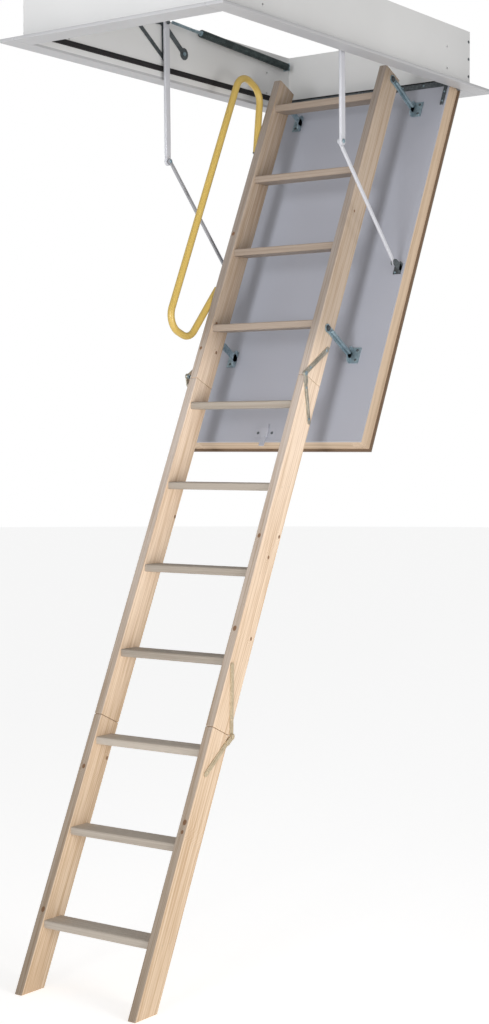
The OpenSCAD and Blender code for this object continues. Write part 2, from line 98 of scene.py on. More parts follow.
class Value:
    """A number that changes over a surface. Python's operators on it add Math nodes."""

    def __init__(self, graph: Graph, socket: bpy.types.NodeSocket) -> None:
        """Keeps a socket and the graph that it belongs to.

        Args:
            graph: The graph that new nodes go into.
            socket: The output socket that carries the number.
        """
        self.graph = graph
        self.socket = socket

    def maths(self, operation: str, *others: Value | float) -> Value:
        """Adds one Math node.

        Args:
            operation: The name of the node's operation.
            *others: What follows this value in the node's inputs.

        Returns:
            The node's result.
        """
        return self.graph.maths(operation, self, *others)

    def __add__(self, other: Value | float) -> Value:
        """self + other."""
        return self.maths("ADD", other)

    def __radd__(self, other: float) -> Value:
        """other + self."""
        return self.graph.maths("ADD", other, self)

    def __sub__(self, other: Value | float) -> Value:
        """self - other."""
        return self.maths("SUBTRACT", other)

    def __rsub__(self, other: float) -> Value:
        """other - self."""
        return self.graph.maths("SUBTRACT", other, self)

    def __mul__(self, other: Value | float) -> Value:
        """self * other."""
        return self.maths("MULTIPLY", other)

    def __rmul__(self, other: float) -> Value:
        """other * self."""
        return self.graph.maths("MULTIPLY", other, self)

    def __truediv__(self, other: Value | float) -> Value:
        """self / other."""
        return self.maths("DIVIDE", other)

    def __rtruediv__(self, other: float) -> Value:
        """other / self."""
        return self.graph.maths("DIVIDE", other, self)

    def __pow__(self, other: Value | float) -> Value:
        """self ** other."""
        return self.maths("POWER", other)

    def between(self, low: float, high: float, start: float = 0.0, end: float = 1.0) -> Value:
        """Rises smoothly from start to end while this value goes from low to high."""
        return self.graph.value(
            "ShaderNodeMapRange", {"interpolation_type": "SMOOTHSTEP"},
            {"Value": self, "From Min": low, "From Max": high, "To Min": start, "To Max": end},
            "Result",
        )


class Graph:
    """The node graph of one material."""

    def __init__(self, name: str) -> None:
        """Starts a material with one Principled shader.

        Args:
            name: The material's name.
        """
        self.material = bpy.data.materials.new(name)
        self.material.use_nodes = True
        self.tree = self.material.node_tree
        self.tree.nodes.clear()
        self.shader = self.node("ShaderNodeBsdfPrincipled", {}, {})
        output = self.node("ShaderNodeOutputMaterial", {}, {})
        self.tree.links.new(self.shader.outputs[0], output.inputs["Surface"])

    def node(self, kind: str, settings: dict[str, Any],
             inputs: dict[str | int, Any]) -> bpy.types.Node:
        """Adds any node.

        Args:
            kind: The node's type.
            settings: Its properties, which are set first. A ramp takes "stops", a list of
                (position, colour).
            inputs: A number, colour, socket or Value for each socket, by name or place.

        Returns:
            The node.
        """
        node = self.tree.nodes.new(kind)
        for name, setting in settings.items():
            if name == "stops":
                ramp = node.color_ramp
                while len(ramp.elements) < len(setting):
                    ramp.elements.new(0.5)
                for element, (place, colour) in zip(ramp.elements, setting):
                    element.position = place
                    element.color = (*colour, 1.0)
            else:
                setattr(node, name, setting)
        for name, source in inputs.items():
            self.feed(node.inputs[name], source)
        return node

    def feed(self, socket: bpy.types.NodeSocket, source: Any) -> None:
        """Links a socket or Value to an input, or sets the input to a constant.

        Args:
            socket: The input.
            source: What feeds it.
        """
        if isinstance(source, Value):
            source = source.socket
        if isinstance(source, bpy.types.NodeSocket):
            self.tree.links.new(source, socket)
        else:
            socket.default_value = source

    def value(self, kind: str, settings: dict[str, Any], inputs: dict[str | int, Any],
              output: str | int = 0) -> Value:
        """Adds a node and wraps one of its outputs as a number.

        Args:
            kind: The node's type.
            settings: Its properties.
            inputs: Its inputs.
            output: The output's name or place.

        Returns:
            The output.
        """
        return Value(self, self.node(kind, settings, inputs).outputs[output])

    def maths(self, operation: str, *terms: Value | float) -> Value:
        """Adds one Math node with its terms in order."""
        return self.value("ShaderNodeMath", {"operation": operation}, dict(enumerate(terms)))

    def place(self, turn: Sequence[float] = (0, 0, 0), scale: Sequence[float] = (1, 1, 1),
              move: Sequence[float] = (0, 0, 0)) -> bpy.types.NodeSocket:
        """The point on the surface, in the object's own metres.

        Args:
            turn: Rotation about X, Y and Z in radians.
            scale: Scale along each axis after the turn.
            move: Shift added at the end.

        Returns:
            A vector socket.
        """
        point = self.node("ShaderNodeTexCoord", {}, {}).outputs["Object"]
        turned = self.node("ShaderNodeMapping", {"vector_type": "POINT"},
                           {"Vector": point, "Rotation": turn})
        return self.node("ShaderNodeMapping", {"vector_type": "POINT"},
                         {"Vector": turned.outputs[0], "Scale": scale, "Location": move}).outputs[0]

    def noise(self, point: Any, scale: float, detail: float = 3.0, rough: float = 0.5) -> Value:
        """A noise from 0 to 1 that averages a half."""
        inputs = {"Vector": point, "Scale": scale, "Detail": detail, "Roughness": rough}
        return self.value("ShaderNodeTexNoise", {}, inputs, "Fac")

    def parts(self, point: Any) -> tuple[Value, Value, Value]:
        """Splits a vector into its three numbers."""
        node = self.node("ShaderNodeSeparateXYZ", {}, {0: point})
        return tuple(Value(self, socket) for socket in node.outputs)

    def mix(self, factor: Value | float, first: Any, second: Any,
            blend: str = "MIX") -> bpy.types.NodeSocket:
        """Mixes two colours.

        Args:
            factor: How much of the second colour shows.
            first: A colour or a socket.
            second: A colour or a socket.
            blend: How they combine.

        Returns:
            The mixed colour's socket.
        """
        def full(colour: Any) -> Any:
            """Gives a plain colour its alpha."""
            return (*colour, 1.0) if isinstance(colour, tuple) else colour

        node = self.node("ShaderNodeMix", {"data_type": "RGBA", "blend_type": blend},
                         {"Factor": factor, 6: full(first), 7: full(second)})
        return node.outputs[2]

    def bump(self, height: Value, depth: float, strength: float = 1.0) -> None:
        """Feeds the shader's normal from a height.

        Args:
            height: Height over the surface, from 0 to 1.
            depth: How far a height of 1 stands out, in metres.
            strength: How strongly it shows.
        """
        node = self.node("ShaderNodeBump", {},
                         {"Height": height, "Distance": depth, "Strength": strength})
        self.tree.links.new(node.outputs[0], self.shader.inputs["Normal"])

    def done(self, **sockets: Any) -> Finish:
        """Sets the shader's sockets, with spaces for underscores, and returns the material."""
        for name, source in sockets.items():
            if isinstance(source, tuple) and len(source) == 3:
                source = (*source, 1.0)
            self.feed(self.shader.inputs[name.replace("_", " ")], source)
        return self.material


# ---- Finishes ----

SLOPE = radians(65.2)
BARK_BROWN: Colour = (0.18, 0.085, 0.035)
PORE_BROWN: Colour = (0.30, 0.16, 0.07)

# Where a painted shade sets in and is full: the first two up the slope, the last behind the front
# face.
LOW_SHADE_FADE: Pair = (-1.1, -2.9)
HIGH_SHADE_FADE: Pair = (-1.08, -0.84)
FACE_SHADE_FADE: Pair = (0.5 * MM, 1.8 * MM)


@dataclass(frozen=True)
class Knot:
    """A knot in a stile, in mm: its height along the slope, its radius and its middle.

    A knot with an across place runs front to back at that X; one without runs through the
    stile from side to side at its depth.
    """

    depth: float
    up: float
    radius: float = 7.0
    across: float | None = None


@dataclass(frozen=True)
class PlanedPine:
    """Clear planed pine with fine growth rings along the length, and knots where stated, with
    optional painted shade multiplied in low down, near the top and on the front face.
    """

    name: str
    light: Colour
    dark: Colour
    turn: tuple[float, float, float]
    pith: Pair = (0.02, 0.13)
    ring_pitch: float = 0.0052
    knots: tuple[Knot, ...] = ()
    contrast: float = 0.55
    front_y: float = 0.0
    rough: float = 0.58
    # Painted shade: multiplied in more and more towards the floor.
    low_tone: Colour | None = None
    # Painted shade: the ceiling frame's shadow over the top of the top section.
    high_tone: Colour | None = None
    # Painted shade: a bluer grey on the front face, turned away from the light.
    face_painted_shade: Colour | None = None

    def build(self) -> Finish:
        """Builds the material.

        Returns:
            The material, with its grain along the local Z axis after the turn.
        """
        g = Graph(self.name)
        point = g.place(turn=self.turn, move=self.shift())
        x, depth, up = g.parts(point)
        stretched = g.node("ShaderNodeCombineXYZ", {}, {0: x, 1: depth, 2: up * 0.05}).outputs[0]
        drift = g.noise(stretched, 9.0, 2.0)
        knot_mask, pull = self.knot_fields(x, depth, up)
        across_x = x - self.pith[0]
        across_d = depth - self.pith[1]
        reach = (across_x * across_x + across_d * across_d) ** 0.5 + (drift - 0.5) * 0.035
        if pull is not None:
            reach = reach + pull * 0.012
        phase = (reach / self.ring_pitch).maths("FRACT")
        late = phase.between(0.35, 0.93) * (1.0 - phase.between(0.94, 1.0))
        fibre = g.node("ShaderNodeCombineXYZ", {},
                       {0: x * 60.0, 1: depth * 60.0, 2: up * 1.4}).outputs[0]
        streak = g.noise(fibre, 12.0, 4.0, 0.65)
        patch = g.noise(stretched, 4.0, 2.0)
        figure = g.noise(fibre, 1.5, 3.0, 0.6)
        spread = late * 0.34 + (streak - 0.5) * 0.9 + (patch - 0.5) * 1.3 + (figure - 0.5) * 2.4
        amount = spread * self.contrast + 0.24
        tone = g.mix(amount.between(0.0, 1.0), self.light, self.dark)
        pore = g.noise(fibre, 40.0, 2.0).between(0.62, 0.75)
        tone = g.mix(pore * 0.10, tone, PORE_BROWN, "MULTIPLY")
        # Painted shade, darker towards the floor.
        if self.low_tone is not None:
            tone = g.mix(up.between(*LOW_SHADE_FADE) * 0.85, tone, self.low_tone, "MULTIPLY")
        # Painted shade of the ceiling frame, full near the top.
        if self.high_tone is not None:
            tone = g.mix(up.between(*HIGH_SHADE_FADE), tone, self.high_tone, "MULTIPLY")
        # Painted shade on the front face.
        if self.face_painted_shade is not None:
            tone = g.mix(1.0 - depth.between(*FACE_SHADE_FADE), tone, self.face_painted_shade, "MULTIPLY")
        if knot_mask is not None:
            tone = g.mix(knot_mask, tone, BARK_BROWN)
        g.bump(streak * 0.6 + late * 0.4, 0.00025, 0.5)
        return g.done(Base_Color=tone, Roughness=self.rough + (streak - 0.5) * 0.12,
                      Specular_IOR_Level=0.35)

    def shift(self) -> tuple[float, float, float]:
        """The move that brings a slope-frame depth and height to zero at the ladder's front."""
        turn = self.turn[0]
        return (0.0, -self.front_y * cos(turn), -self.front_y * sin(turn))

    def knot_fields(self, x: Value, depth: Value,
                    up: Value) -> tuple[Value | None, Value | None]:
        """Finds how much of each knot shows, and how the rings bend round it.

        Args:
            x: Place across the ladder.
            depth: Depth in the slope frame.
            up: Height along the slope.

        Returns:
            The knot's own mask, and the pull on the rings, or two Nones without knots.
        """
        mask: Value | None = None
        pull: Value | None = None
        for knot in self.knots:
            r = knot.radius * MM
            if knot.across is None:
                side = (depth - knot.depth * MM) / r
            else:
                side = (x - knot.across * MM) / r
            along = (up - knot.up * MM) / (1.3 * r)
            far = side * side + along * along
            core = (1.0 - far.between(0.55, 1.15)) * 0.9
            bend = 1.0 - far.between(0.0, 14.0)
            mask = core if mask is None else mask.maths("MAXIMUM", core)
            pull = bend if pull is None else pull.maths("MAXIMUM", bend)
        return mask, pull


@dataclass(frozen=True)
class PaintedBoard:
    """White paint on planed board, with a trace of grain and a soft mottle."""

    name: str
    colour: Colour
    rough: float = 0.5
    grain: float = 0.35
    mottle: float = 0.05

    def build(self) -> Finish:
        """Builds the material.

        Returns:
            The material.
        """
        g = Graph(self.name)
        along = g.place(scale=(30.0, 1.3, 30.0))
        grain = g.noise(along, 9.0, 4.0, 0.6)
        cloud = g.noise(g.place(), 4.5, 3.0)
        dust = g.noise(g.place(), 260.0, 2.0)
        shade = tuple(c * 0.88 for c in self.colour)
        tone = g.mix(cloud.between(0.35, 0.75) * self.mottle * 6.0, self.colour, shade)
        grain_streak_and_painted_shade = tuple(c * 0.9 for c in self.colour)
        tone = g.mix(grain.between(0.55, 0.8) * self.grain * 0.3, tone, grain_streak_and_painted_shade)
        g.bump(grain * 0.7 + dust * 0.3, 0.0003, self.grain)
        return g.done(Base_Color=tone, Roughness=self.rough + (cloud - 0.5) * 0.12,
                      Specular_IOR_Level=0.4)


@dataclass(frozen=True)
class PowderCoat:
    """Powder coat on steel: an even colour with fine orange peel."""

    name: str
    colour: Colour
    rough: float = 0.34
    peel: float = 0.22
    chips: float = 0.0

    def build(self) -> Finish:
        """Builds the material.

        Returns:
            The material.
        """
        g = Graph(self.name)
        peel = g.noise(g.place(), 420.0, 2.0)
        cloud = g.noise(g.place(), 7.0, 2.0)
        shade = tuple(c * 0.86 for c in self.colour)
        tone = g.mix(cloud.between(0.3, 0.8) * 0.35, self.colour, shade)
        metal: Value | float = 0.0
        if self.chips:
            chip = g.noise(g.place(), 95.0, 4.0, 0.7).between(0.70, 0.74) * self.chips
            tone = g.mix(chip, tone, (0.25, 0.24, 0.22))
            metal = chip * 0.8
        g.bump(peel, 0.00012, self.peel)
        return g.done(Base_Color=tone, Roughness=self.rough + (peel - 0.5) * 0.08, Metallic=metal,
                      Coat_Weight=0.25)


@dataclass(frozen=True)
class PlatedSteel:
    """Zinc-plated or oiled steel, with a spangle of light and dark grains and dull spots."""

    name: str
    light: Colour
    dark: Colour
    rough: float = 0.38
    metallic: float = 0.85
    spangle: float = 140.0

    def build(self) -> Finish:
        """Builds the material.

        Returns:
            The material.
        """
        g = Graph(self.name)
        grains = g.value("ShaderNodeTexVoronoi", {"feature": "F1"},
                         {"Vector": g.place(), "Scale": self.spangle}, "Distance")
        cloud = g.noise(g.place(), 22.0, 4.0, 0.6)
        scratch = g.noise(g.place(scale=(1.0, 12.0, 12.0)), 60.0, 3.0)
        amount = grains.between(0.0, 0.9) * 0.45 + cloud.between(0.3, 0.7) * 0.55
        tone = g.mix(amount, self.light, self.dark)
        dull = cloud.between(0.55, 0.8)
        g.bump(scratch * 0.6 + cloud * 0.4, 0.00012, 0.35)
        return g.done(Base_Color=tone, Metallic=self.metallic - dull * 0.25,
                      Roughness=self.rough + (cloud - 0.5) * 0.25 + (scratch - 0.5) * 0.1)


@dataclass(frozen=True)
class SealRubber:
    """Matte black foam rubber with a fine skin."""

    name: str = "seal_rubber"
    colour: Colour = (0.012, 0.011, 0.012)

    def build(self) -> Finish:
        """Builds the material.

        Returns:
            The material.
        """
        g = Graph(self.name)
        pores = g.noise(g.place(), 700.0, 3.0)
        dust = g.noise(g.place(), 18.0, 3.0).between(0.5, 0.85)
        g.bump(pores, 0.0002, 0.4)
        return g.done(Base_Color=g.mix(dust * 0.25, self.colour, (0.06, 0.058, 0.055)),
                      Roughness=0.7 + (pores - 0.5) * 0.2)


@dataclass(frozen=True)
class FoilFace:
    """White foil on fibreboard, with a faint emboss and a cool tint; its default colour is darker
    and bluer than the outer copy, painted shade on the hatch's underside.

    With a skin depth, the foil lies only on what is deeper than it in the slope frame, and the
    board's bare brown shows on the rest.
    """

    name: str = "hatch_foil_painted_shade"
    # Painted shade: the inner face's colour is darker and bluer than the outer copy.
    colour: Colour = (0.375, 0.385, 0.435)
    skin: float | None = None
    bare: Colour = (0.15, 0.10, 0.065)

    def build(self) -> Finish:
        """Builds the material.

        Returns:
            The material.
        """
        g = Graph(self.name)
        cloud = g.noise(g.place(), 2.6, 2.0)
        emboss = g.noise(g.place(scale=(1.0, 0.25, 0.25)), 380.0, 2.0)
        rub = g.noise(g.place(scale=(6.0, 1.0, 1.0)), 9.0, 4.0).between(0.6, 0.85)
        shade = tuple(c * 0.93 for c in self.colour)
        tone = g.mix(cloud.between(0.3, 0.75) * 0.6, self.colour, shade)
        tone = g.mix(rub * 0.12, tone, (0.32, 0.32, 0.34))
        if self.skin is not None:
            turn = pi / 2 - SLOPE
            move = (0.0, -ON_SLOPE.front_y * cos(turn), -ON_SLOPE.front_y * sin(turn))
            depth = g.parts(g.place(turn=(turn, 0.0, 0.0), move=move))[1]
            tone = g.mix(depth.between(self.skin - 0.2 * MM, self.skin), self.bare, tone)
        g.bump(emboss, 0.00008, 0.25)
        return g.done(Base_Color=tone, Roughness=0.42 + rub * 0.10, Specular_IOR_Level=0.45)


@dataclass(frozen=True)
class RigidFoam:
    """Pale yellow insulation foam with an open-cell skin."""

    name: str = "insulation_foam"
    colour: Colour = (0.74, 0.68, 0.50)

    def build(self) -> Finish:
        """Builds the material.

        Returns:
            The material.
        """
        g = Graph(self.name)
        cells = g.value("ShaderNodeTexVoronoi", {"feature": "F1"},
                        {"Vector": g.place(), "Scale": 420.0}, "Distance")
        tone = g.mix(cells.between(0.1, 0.8), self.colour, tuple(c * 0.8 for c in self.colour))
        g.bump(cells, 0.0004, 0.6)
        return g.done(Base_Color=tone, Roughness=0.85)


@dataclass(frozen=True)
class StudioFloor:
    """A plain pale studio floor."""

    name: str = "studio_floor"
    colour: Colour = (0.92, 0.92, 0.92)
    glow: float = 0.52

    def build(self) -> Finish:
        """Builds the material.

        Returns:
            The material.
        """
        g = Graph(self.name)
        dust = g.noise(g.place(), 3.0, 2.0)
        shade = tuple(c * 0.985 for c in self.colour)
        return g.done(Base_Color=g.mix(dust * 0.3, self.colour, shade), Roughness=0.9,
                      Specular_IOR_Level=0.1, Emission_Color=(1.0, 1.0, 1.0),
                      Emission_Strength=self.glow)


# ---- Meshes ----


class Shape:
    """A piece in the making: one bmesh in metres that operators build up."""

    def __init__(self, matrix: Matrix | None = None) -> None:
        """Starts an empty shape.

        Args:
            matrix: Takes the shape's working directions to the frame's, at the end.
        """
        self.bm = bmesh.new()
        self.matrix = matrix or Matrix.Identity(4)

    def _round(self, verts: Iterable[bmesh.types.BMVert], offset: float, segments: int,
               angle: float = radians(30)) -> None:
        """Rounds the sharp edges among some vertices.

        Args:
            verts: The vertices.
            offset: Radius of the edges.
            segments: Steps round each edge.
            angle: Edges flatter than this stay as they are.
        """
        members = list(verts)
        chosen = set(members)
        edges = [e for v in members for e in v.link_edges
                 if e.other_vert(v) in chosen and len(e.link_faces) == 2
                 and e.calc_face_angle(0) > angle]
        edges = list(dict.fromkeys(edges))
        if offset > 0 and edges:
            bmesh.ops.bevel(self.bm, geom=edges, offset=offset, offset_type="OFFSET",
                            segments=segments, affect="EDGES", profile=0.5, material=-1,
                            clamp_overlap=True)

    def block(self, low: Sequence[float], high: Sequence[float], soften: float = 0.001,
              segments: int = 2) -> Shape:
        """Adds a block with softened edges.

        Args:
            low: Its lowest corner.
            high: Its highest corner.
            soften: Radius of its edges.
            segments: Steps round each edge.

        Returns:
            This shape.
        """
        a, b = Vector(low), Vector(high)
        size = b - a
        place = Matrix.Translation((a + b) / 2) @ Matrix.Diagonal((*size, 1.0))
        made = bmesh.ops.create_cube(self.bm, size=1.0, matrix=place)["verts"]
        self._round(made, min(soften, min(size) * 0.45), segments)
        return self

    def rod(self, start: Sequence[float], end: Sequence[float], radius: float, sides: int = 24,
            soften: float = 0.0, top: float | None = None) -> Shape:
        """Adds a round bar, cone or bolt head.

        Args:
            start: The middle of its first end.
            end: The middle of its other end.
            radius: Its radius at the start.
            sides: Its number of sides.
            soften: Radius of its end edges.
            top: Its radius at the end, if that differs.

        Returns:
            This shape.
        """
        a, b = Vector(start), Vector(end)
        turn = (b - a).to_track_quat("Z", "Y").to_matrix().to_4x4()
        made = bmesh.ops.create_cone(
            self.bm, cap_ends=True, cap_tris=False, segments=sides, radius1=radius,
            radius2=radius if top is None else top, depth=(b - a).length,
            matrix=Matrix.Translation((a + b) / 2) @ turn)["verts"]
        self._round(made, soften, 2, radians(62))
        return self

    def pin(self, side: Side, at: Pair, start: float, end: float, radius: float, sides: int,
            soften: float) -> Shape:
        """Adds a round bar along X on one side of the ladder.

        Args:
            side: The side that it is on.
            at: Its place across X.
            start: |X| of its first end.
            end: |X| of its other end.
            radius: Its radius.
            sides: Its number of sides.
            soften: Radius of its end edges.

        Returns:
            This shape.
        """
        s = side.value
        return self.rod((s * start, *at), (s * end, *at), radius, sides, soften)

    def plate(self, outline: Sequence[Pair], x0: float, thick: float, soften: float = 0.0006,
              segments: int = 2) -> Shape:
        """Adds a flat plate across X from its outline.

        Args:
            outline: Its corners, as the two numbers that follow X.
            x0: Where it starts along X.
            thick: Its thickness along X.
            soften: Radius of its edges.
            segments: Steps round each edge.

        Returns:
            This shape.
        """
        verts = [self.bm.verts.new((x0, a, b)) for a, b in outline]
        face = self.bm.faces.new(verts)
        grown = bmesh.ops.extrude_face_region(self.bm, geom=[face])["geom"]
        far = [v for v in grown if isinstance(v, bmesh.types.BMVert)]
        bmesh.ops.translate(self.bm, verts=far, vec=(thick, 0, 0))
        self._round(verts + far, soften, segments, radians(50))
        return self

    def lathe(self, start: Sequence[float], axis: Sequence[float], profile: Sequence[Pair],
              sides: int = 20) -> Shape:
        """Adds a turned shape.

        Args:
            start: A point on its axis.
            axis: The axis's direction.
            profile: Pairs of radius and distance along the axis.
            sides: Its number of sides.

        Returns:
            This shape.
        """
        heading = Vector(axis).to_track_quat("Z", "Y").to_matrix().to_4x4()
        turn = Matrix.Translation(Vector(start)) @ heading
        verts = [self.bm.verts.new(turn @ Vector((r, 0, z))) for r, z in profile]
        edges = [self.bm.edges.new(pair) for pair in zip(verts, verts[1:])]
        bmesh.ops.spin(self.bm, geom=verts + edges, cent=Vector(start),
                       axis=turn.to_3x3() @ Vector((0, 0, 1)), angle=2 * pi, steps=sides,
                       use_merge=True, use_duplicate=False)
        return self

    def finish(self, name: str, body: Body, material: Finish, slot: str,
               replaces: Sequence[str] = (), smooth: float = 38.0) -> bpy.types.Object:
        """Turns the shape into a piece on its body.

        Args:
            name: The piece's name.
            body: The body that it rides on.
            material: Its finish.
            slot: The record's material slot; not used.
            replaces: The CAD nodes that it stands for.
            smooth: Edges flatter than this many degrees are shaded round.

        Returns:
            The piece.
        """
        bmesh.ops.remove_doubles(self.bm, verts=self.bm.verts, dist=1e-6)
        bmesh.ops.recalc_face_normals(self.bm, faces=self.bm.faces)
        self.bm.transform(self.matrix)
        mesh = bpy.data.meshes.new(name)
        self.bm.to_mesh(mesh)
        self.bm.free()
        mesh.shade_smooth()
        mesh.set_sharp_from_angle(angle=radians(smooth))
        mesh.materials.append(material)
        piece = bpy.data.objects.new(name, mesh)
        bpy.context.scene.collection.objects.link(piece)
        even = piece.modifiers.new("even_shading", "WEIGHTED_NORMAL")
        even.keep_sharp = True
        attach(piece, body.value)
        if replaces:
            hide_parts(*replaces)
        log.info("%s on %s: %d faces", name, body.value, len(mesh.polygons))
        return piece


def dress(material: Finish, *nodes: str) -> None:
    """Gives CAD nodes a finish, and leaves their shape as it is.

    Args:
        material: The finish.
        *nodes: The nodes' names.
    """
    for node in nodes:
        slots = frame["nodes"][node].data.materials
        slots.clear()
        slots.append(material)


def capsule(a: Pair, b: Pair, width: float, first: float, second: float,
            steps: int = 10) -> list[Pair]:
    """The outline of a flat bar with a round end at each point.

    Args:
        a: The middle of the first end.
        b: The middle of the second end.
        width: The bar's width between them.
        first: Radius of the first end.
        second: Radius of the second end.
        steps: Steps round each end.

    Returns:
        The outline's corners.
    """
    heading = atan2(b[1] - a[1], b[0] - a[0])
    points: list[Pair] = []
    for centre, radius, base in ((a, first, heading + pi), (b, second, heading)):
        reach = pi - asin(min(1.0, width / 2 / radius))
        for i in range(steps + 1):
            turn = base - reach + 2 * reach * i / steps
            points.append((centre[0] + radius * cos(turn), centre[1] + radius * sin(turn)))
    return points


# ---- Places ----


@dataclass(frozen=True)
class SlopeFrame:
    """The ladder's own directions: X, depth behind its front face, and height up the slope."""

    front_y: float = 361.333 * MM

    def matrix(self) -> Matrix:
        """Takes (x, depth, up) to the frame's directions."""
        return Matrix.Translation((0, self.front_y, 0)) @ Matrix.Rotation(SLOPE - pi / 2, 4, "X")

    def local(self, y: float, z: float) -> Pair:
        """The depth and height of a point in the frame's directions."""
        point = self.matrix().inverted() @ Vector((0, y, z))
        return point.y, point.z


ON_SLOPE = SlopeFrame()


def joint_place(name: str) -> Vector:
    """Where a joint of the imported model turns."""
    return Vector(next(j["pos_m"] for j in frame["joints"] if j["name"] == name))


def outward(side: Side, x0: float, thick: float) -> float:
    """The lowest X of a layer that starts at |X| = x0 on one side and grows outwards."""
    return x0 if side is Side.RIGHT else -x0 - thick


def hex_bolt(shape: Shape, side: Side, at: Pair, x0: float, radius: float, height: float) -> None:
    """Adds a hexagon head with its washer on one side of the ladder.

    Args:
        shape: The shape that takes it.
        side: The side that it faces.
        at: Its place across X.
        x0: Where it starts, outwards.
        radius: Its radius across corners.
        height: Its height.
    """
    washer_top = x0 + 1.2 * MM
    shape.pin(side, at, x0, washer_top, radius * 1.25, 28, 0.3 * MM)
    shape.pin(side, at, washer_top, x0 + height, radius, 6, 0.5 * MM)


def dome_head(shape: Shape, start: Sequence[float], axis: Sequence[float], radius: float,
              height: float) -> None:
    """Adds a domed screw head with a driving recess.

    Args:
        shape: The shape that takes it.
        start: The middle of its underside.
        axis: The way that it faces.
        radius: Its radius.
        height: Its height.
    """
    profile = [(0.0, 0.0), (1.0, 0.0), (1.0, 0.3), (0.8, 0.75), (0.45, 1.0), (0.38, 1.0),
               (0.3, 0.35), (0.0, 0.3)]
    shape.lathe(start, axis, [(radius * across, height * up) for across, up in profile], 18)


# ---- Frame ----


@dataclass
class CeilingFrame:
    """The box in the ceiling with its trim, seal and screws."""

    half_w: float = 350 * MM
    front: float = -684 * MM
    rear: float = 654 * MM
    seal_low: float = 16 * MM
    seal_high: float = 34 * MM
    board_t: float = 18 * MM

    def build(self, paint: Finish, trim: Finish, rubber: Finish, dark: Finish) -> None:
        """Builds the frame's pieces.

        Args:
            paint: Finish of the box boards.
            trim: Finish of the trim.
            rubber: Finish of the seal.
            dark: Finish of the screws.
        """
        words = ("left", "right", "front", "rear")
        dress(paint, *(f"frame_board_{word}" for word in words))
        for word in words:
            node = f"trim_{word}"
            low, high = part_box(node)
            piece = Shape().block(low, high, 2.2 * MM, 3)
            piece.finish(f"trim_moulding_{word}", Body.FRAME, trim, "trim", [node])
        self.seal(rubber)
        self.screws(dark)

    def seal(self, rubber: Finish) -> None:
        """Builds the seal: a flat back with three round lips along each side of the opening.

        Args:
            rubber: Finish of the seal.
        """
        shape = Shape()
        back, lip, lip_out, lip_in = 1.8 * MM, 1.6 * MM, 2.8 * MM, 2.2 * MM
        lows, highs = (-self.half_w, self.front), (self.half_w, self.rear)
        heights = (self.seal_low + lip_in, (self.seal_low + self.seal_high) / 2,
                   self.seal_high - lip_in)
        for across, along in ((0, 1), (1, 0)):
            for s, wall in ((1, lows[across]), (-1, highs[across])):
                edge = wall + s * back
                start, end = [0.0, 0.0, self.seal_low], [0.0, 0.0, self.seal_high]
                start[across], end[across] = min(wall, edge), max(wall, edge)
                start[along], end[along] = lows[along], highs[along]
                shape.block(start, end, 0.4 * MM)
                for z in heights:
                    start, end = [0.0, 0.0, z], [0.0, 0.0, z]
                    start[across] = end[across] = wall + s * lip_out
                    start[along], end[along] = lows[along] + back, highs[along] - back
                    shape.rod(start, end, lip, 12)
        shape.finish("seal_strip", Body.FRAME, rubber, "seal", ["frame_seal"])

    def screws(self, dark: Finish) -> None:
        """Builds the screws that hold the boards' corners.

        Args:
            dark: Finish of the screws.
        """
        shape = Shape()
        for side in Side:
            for y in (self.front - self.board_t / 2, self.rear + self.board_t / 2):
                for z in (35 * MM, 92 * MM, 149 * MM):
                    start = (side.value * (self.half_w + self.board_t), y, z)
                    dome_head(shape, start, (side.value, 0, 0), 5 * MM, 2.4 * MM)
        shape.finish("corner_screws", Body.FRAME, dark, "dark_steel", ["frame_screws"])


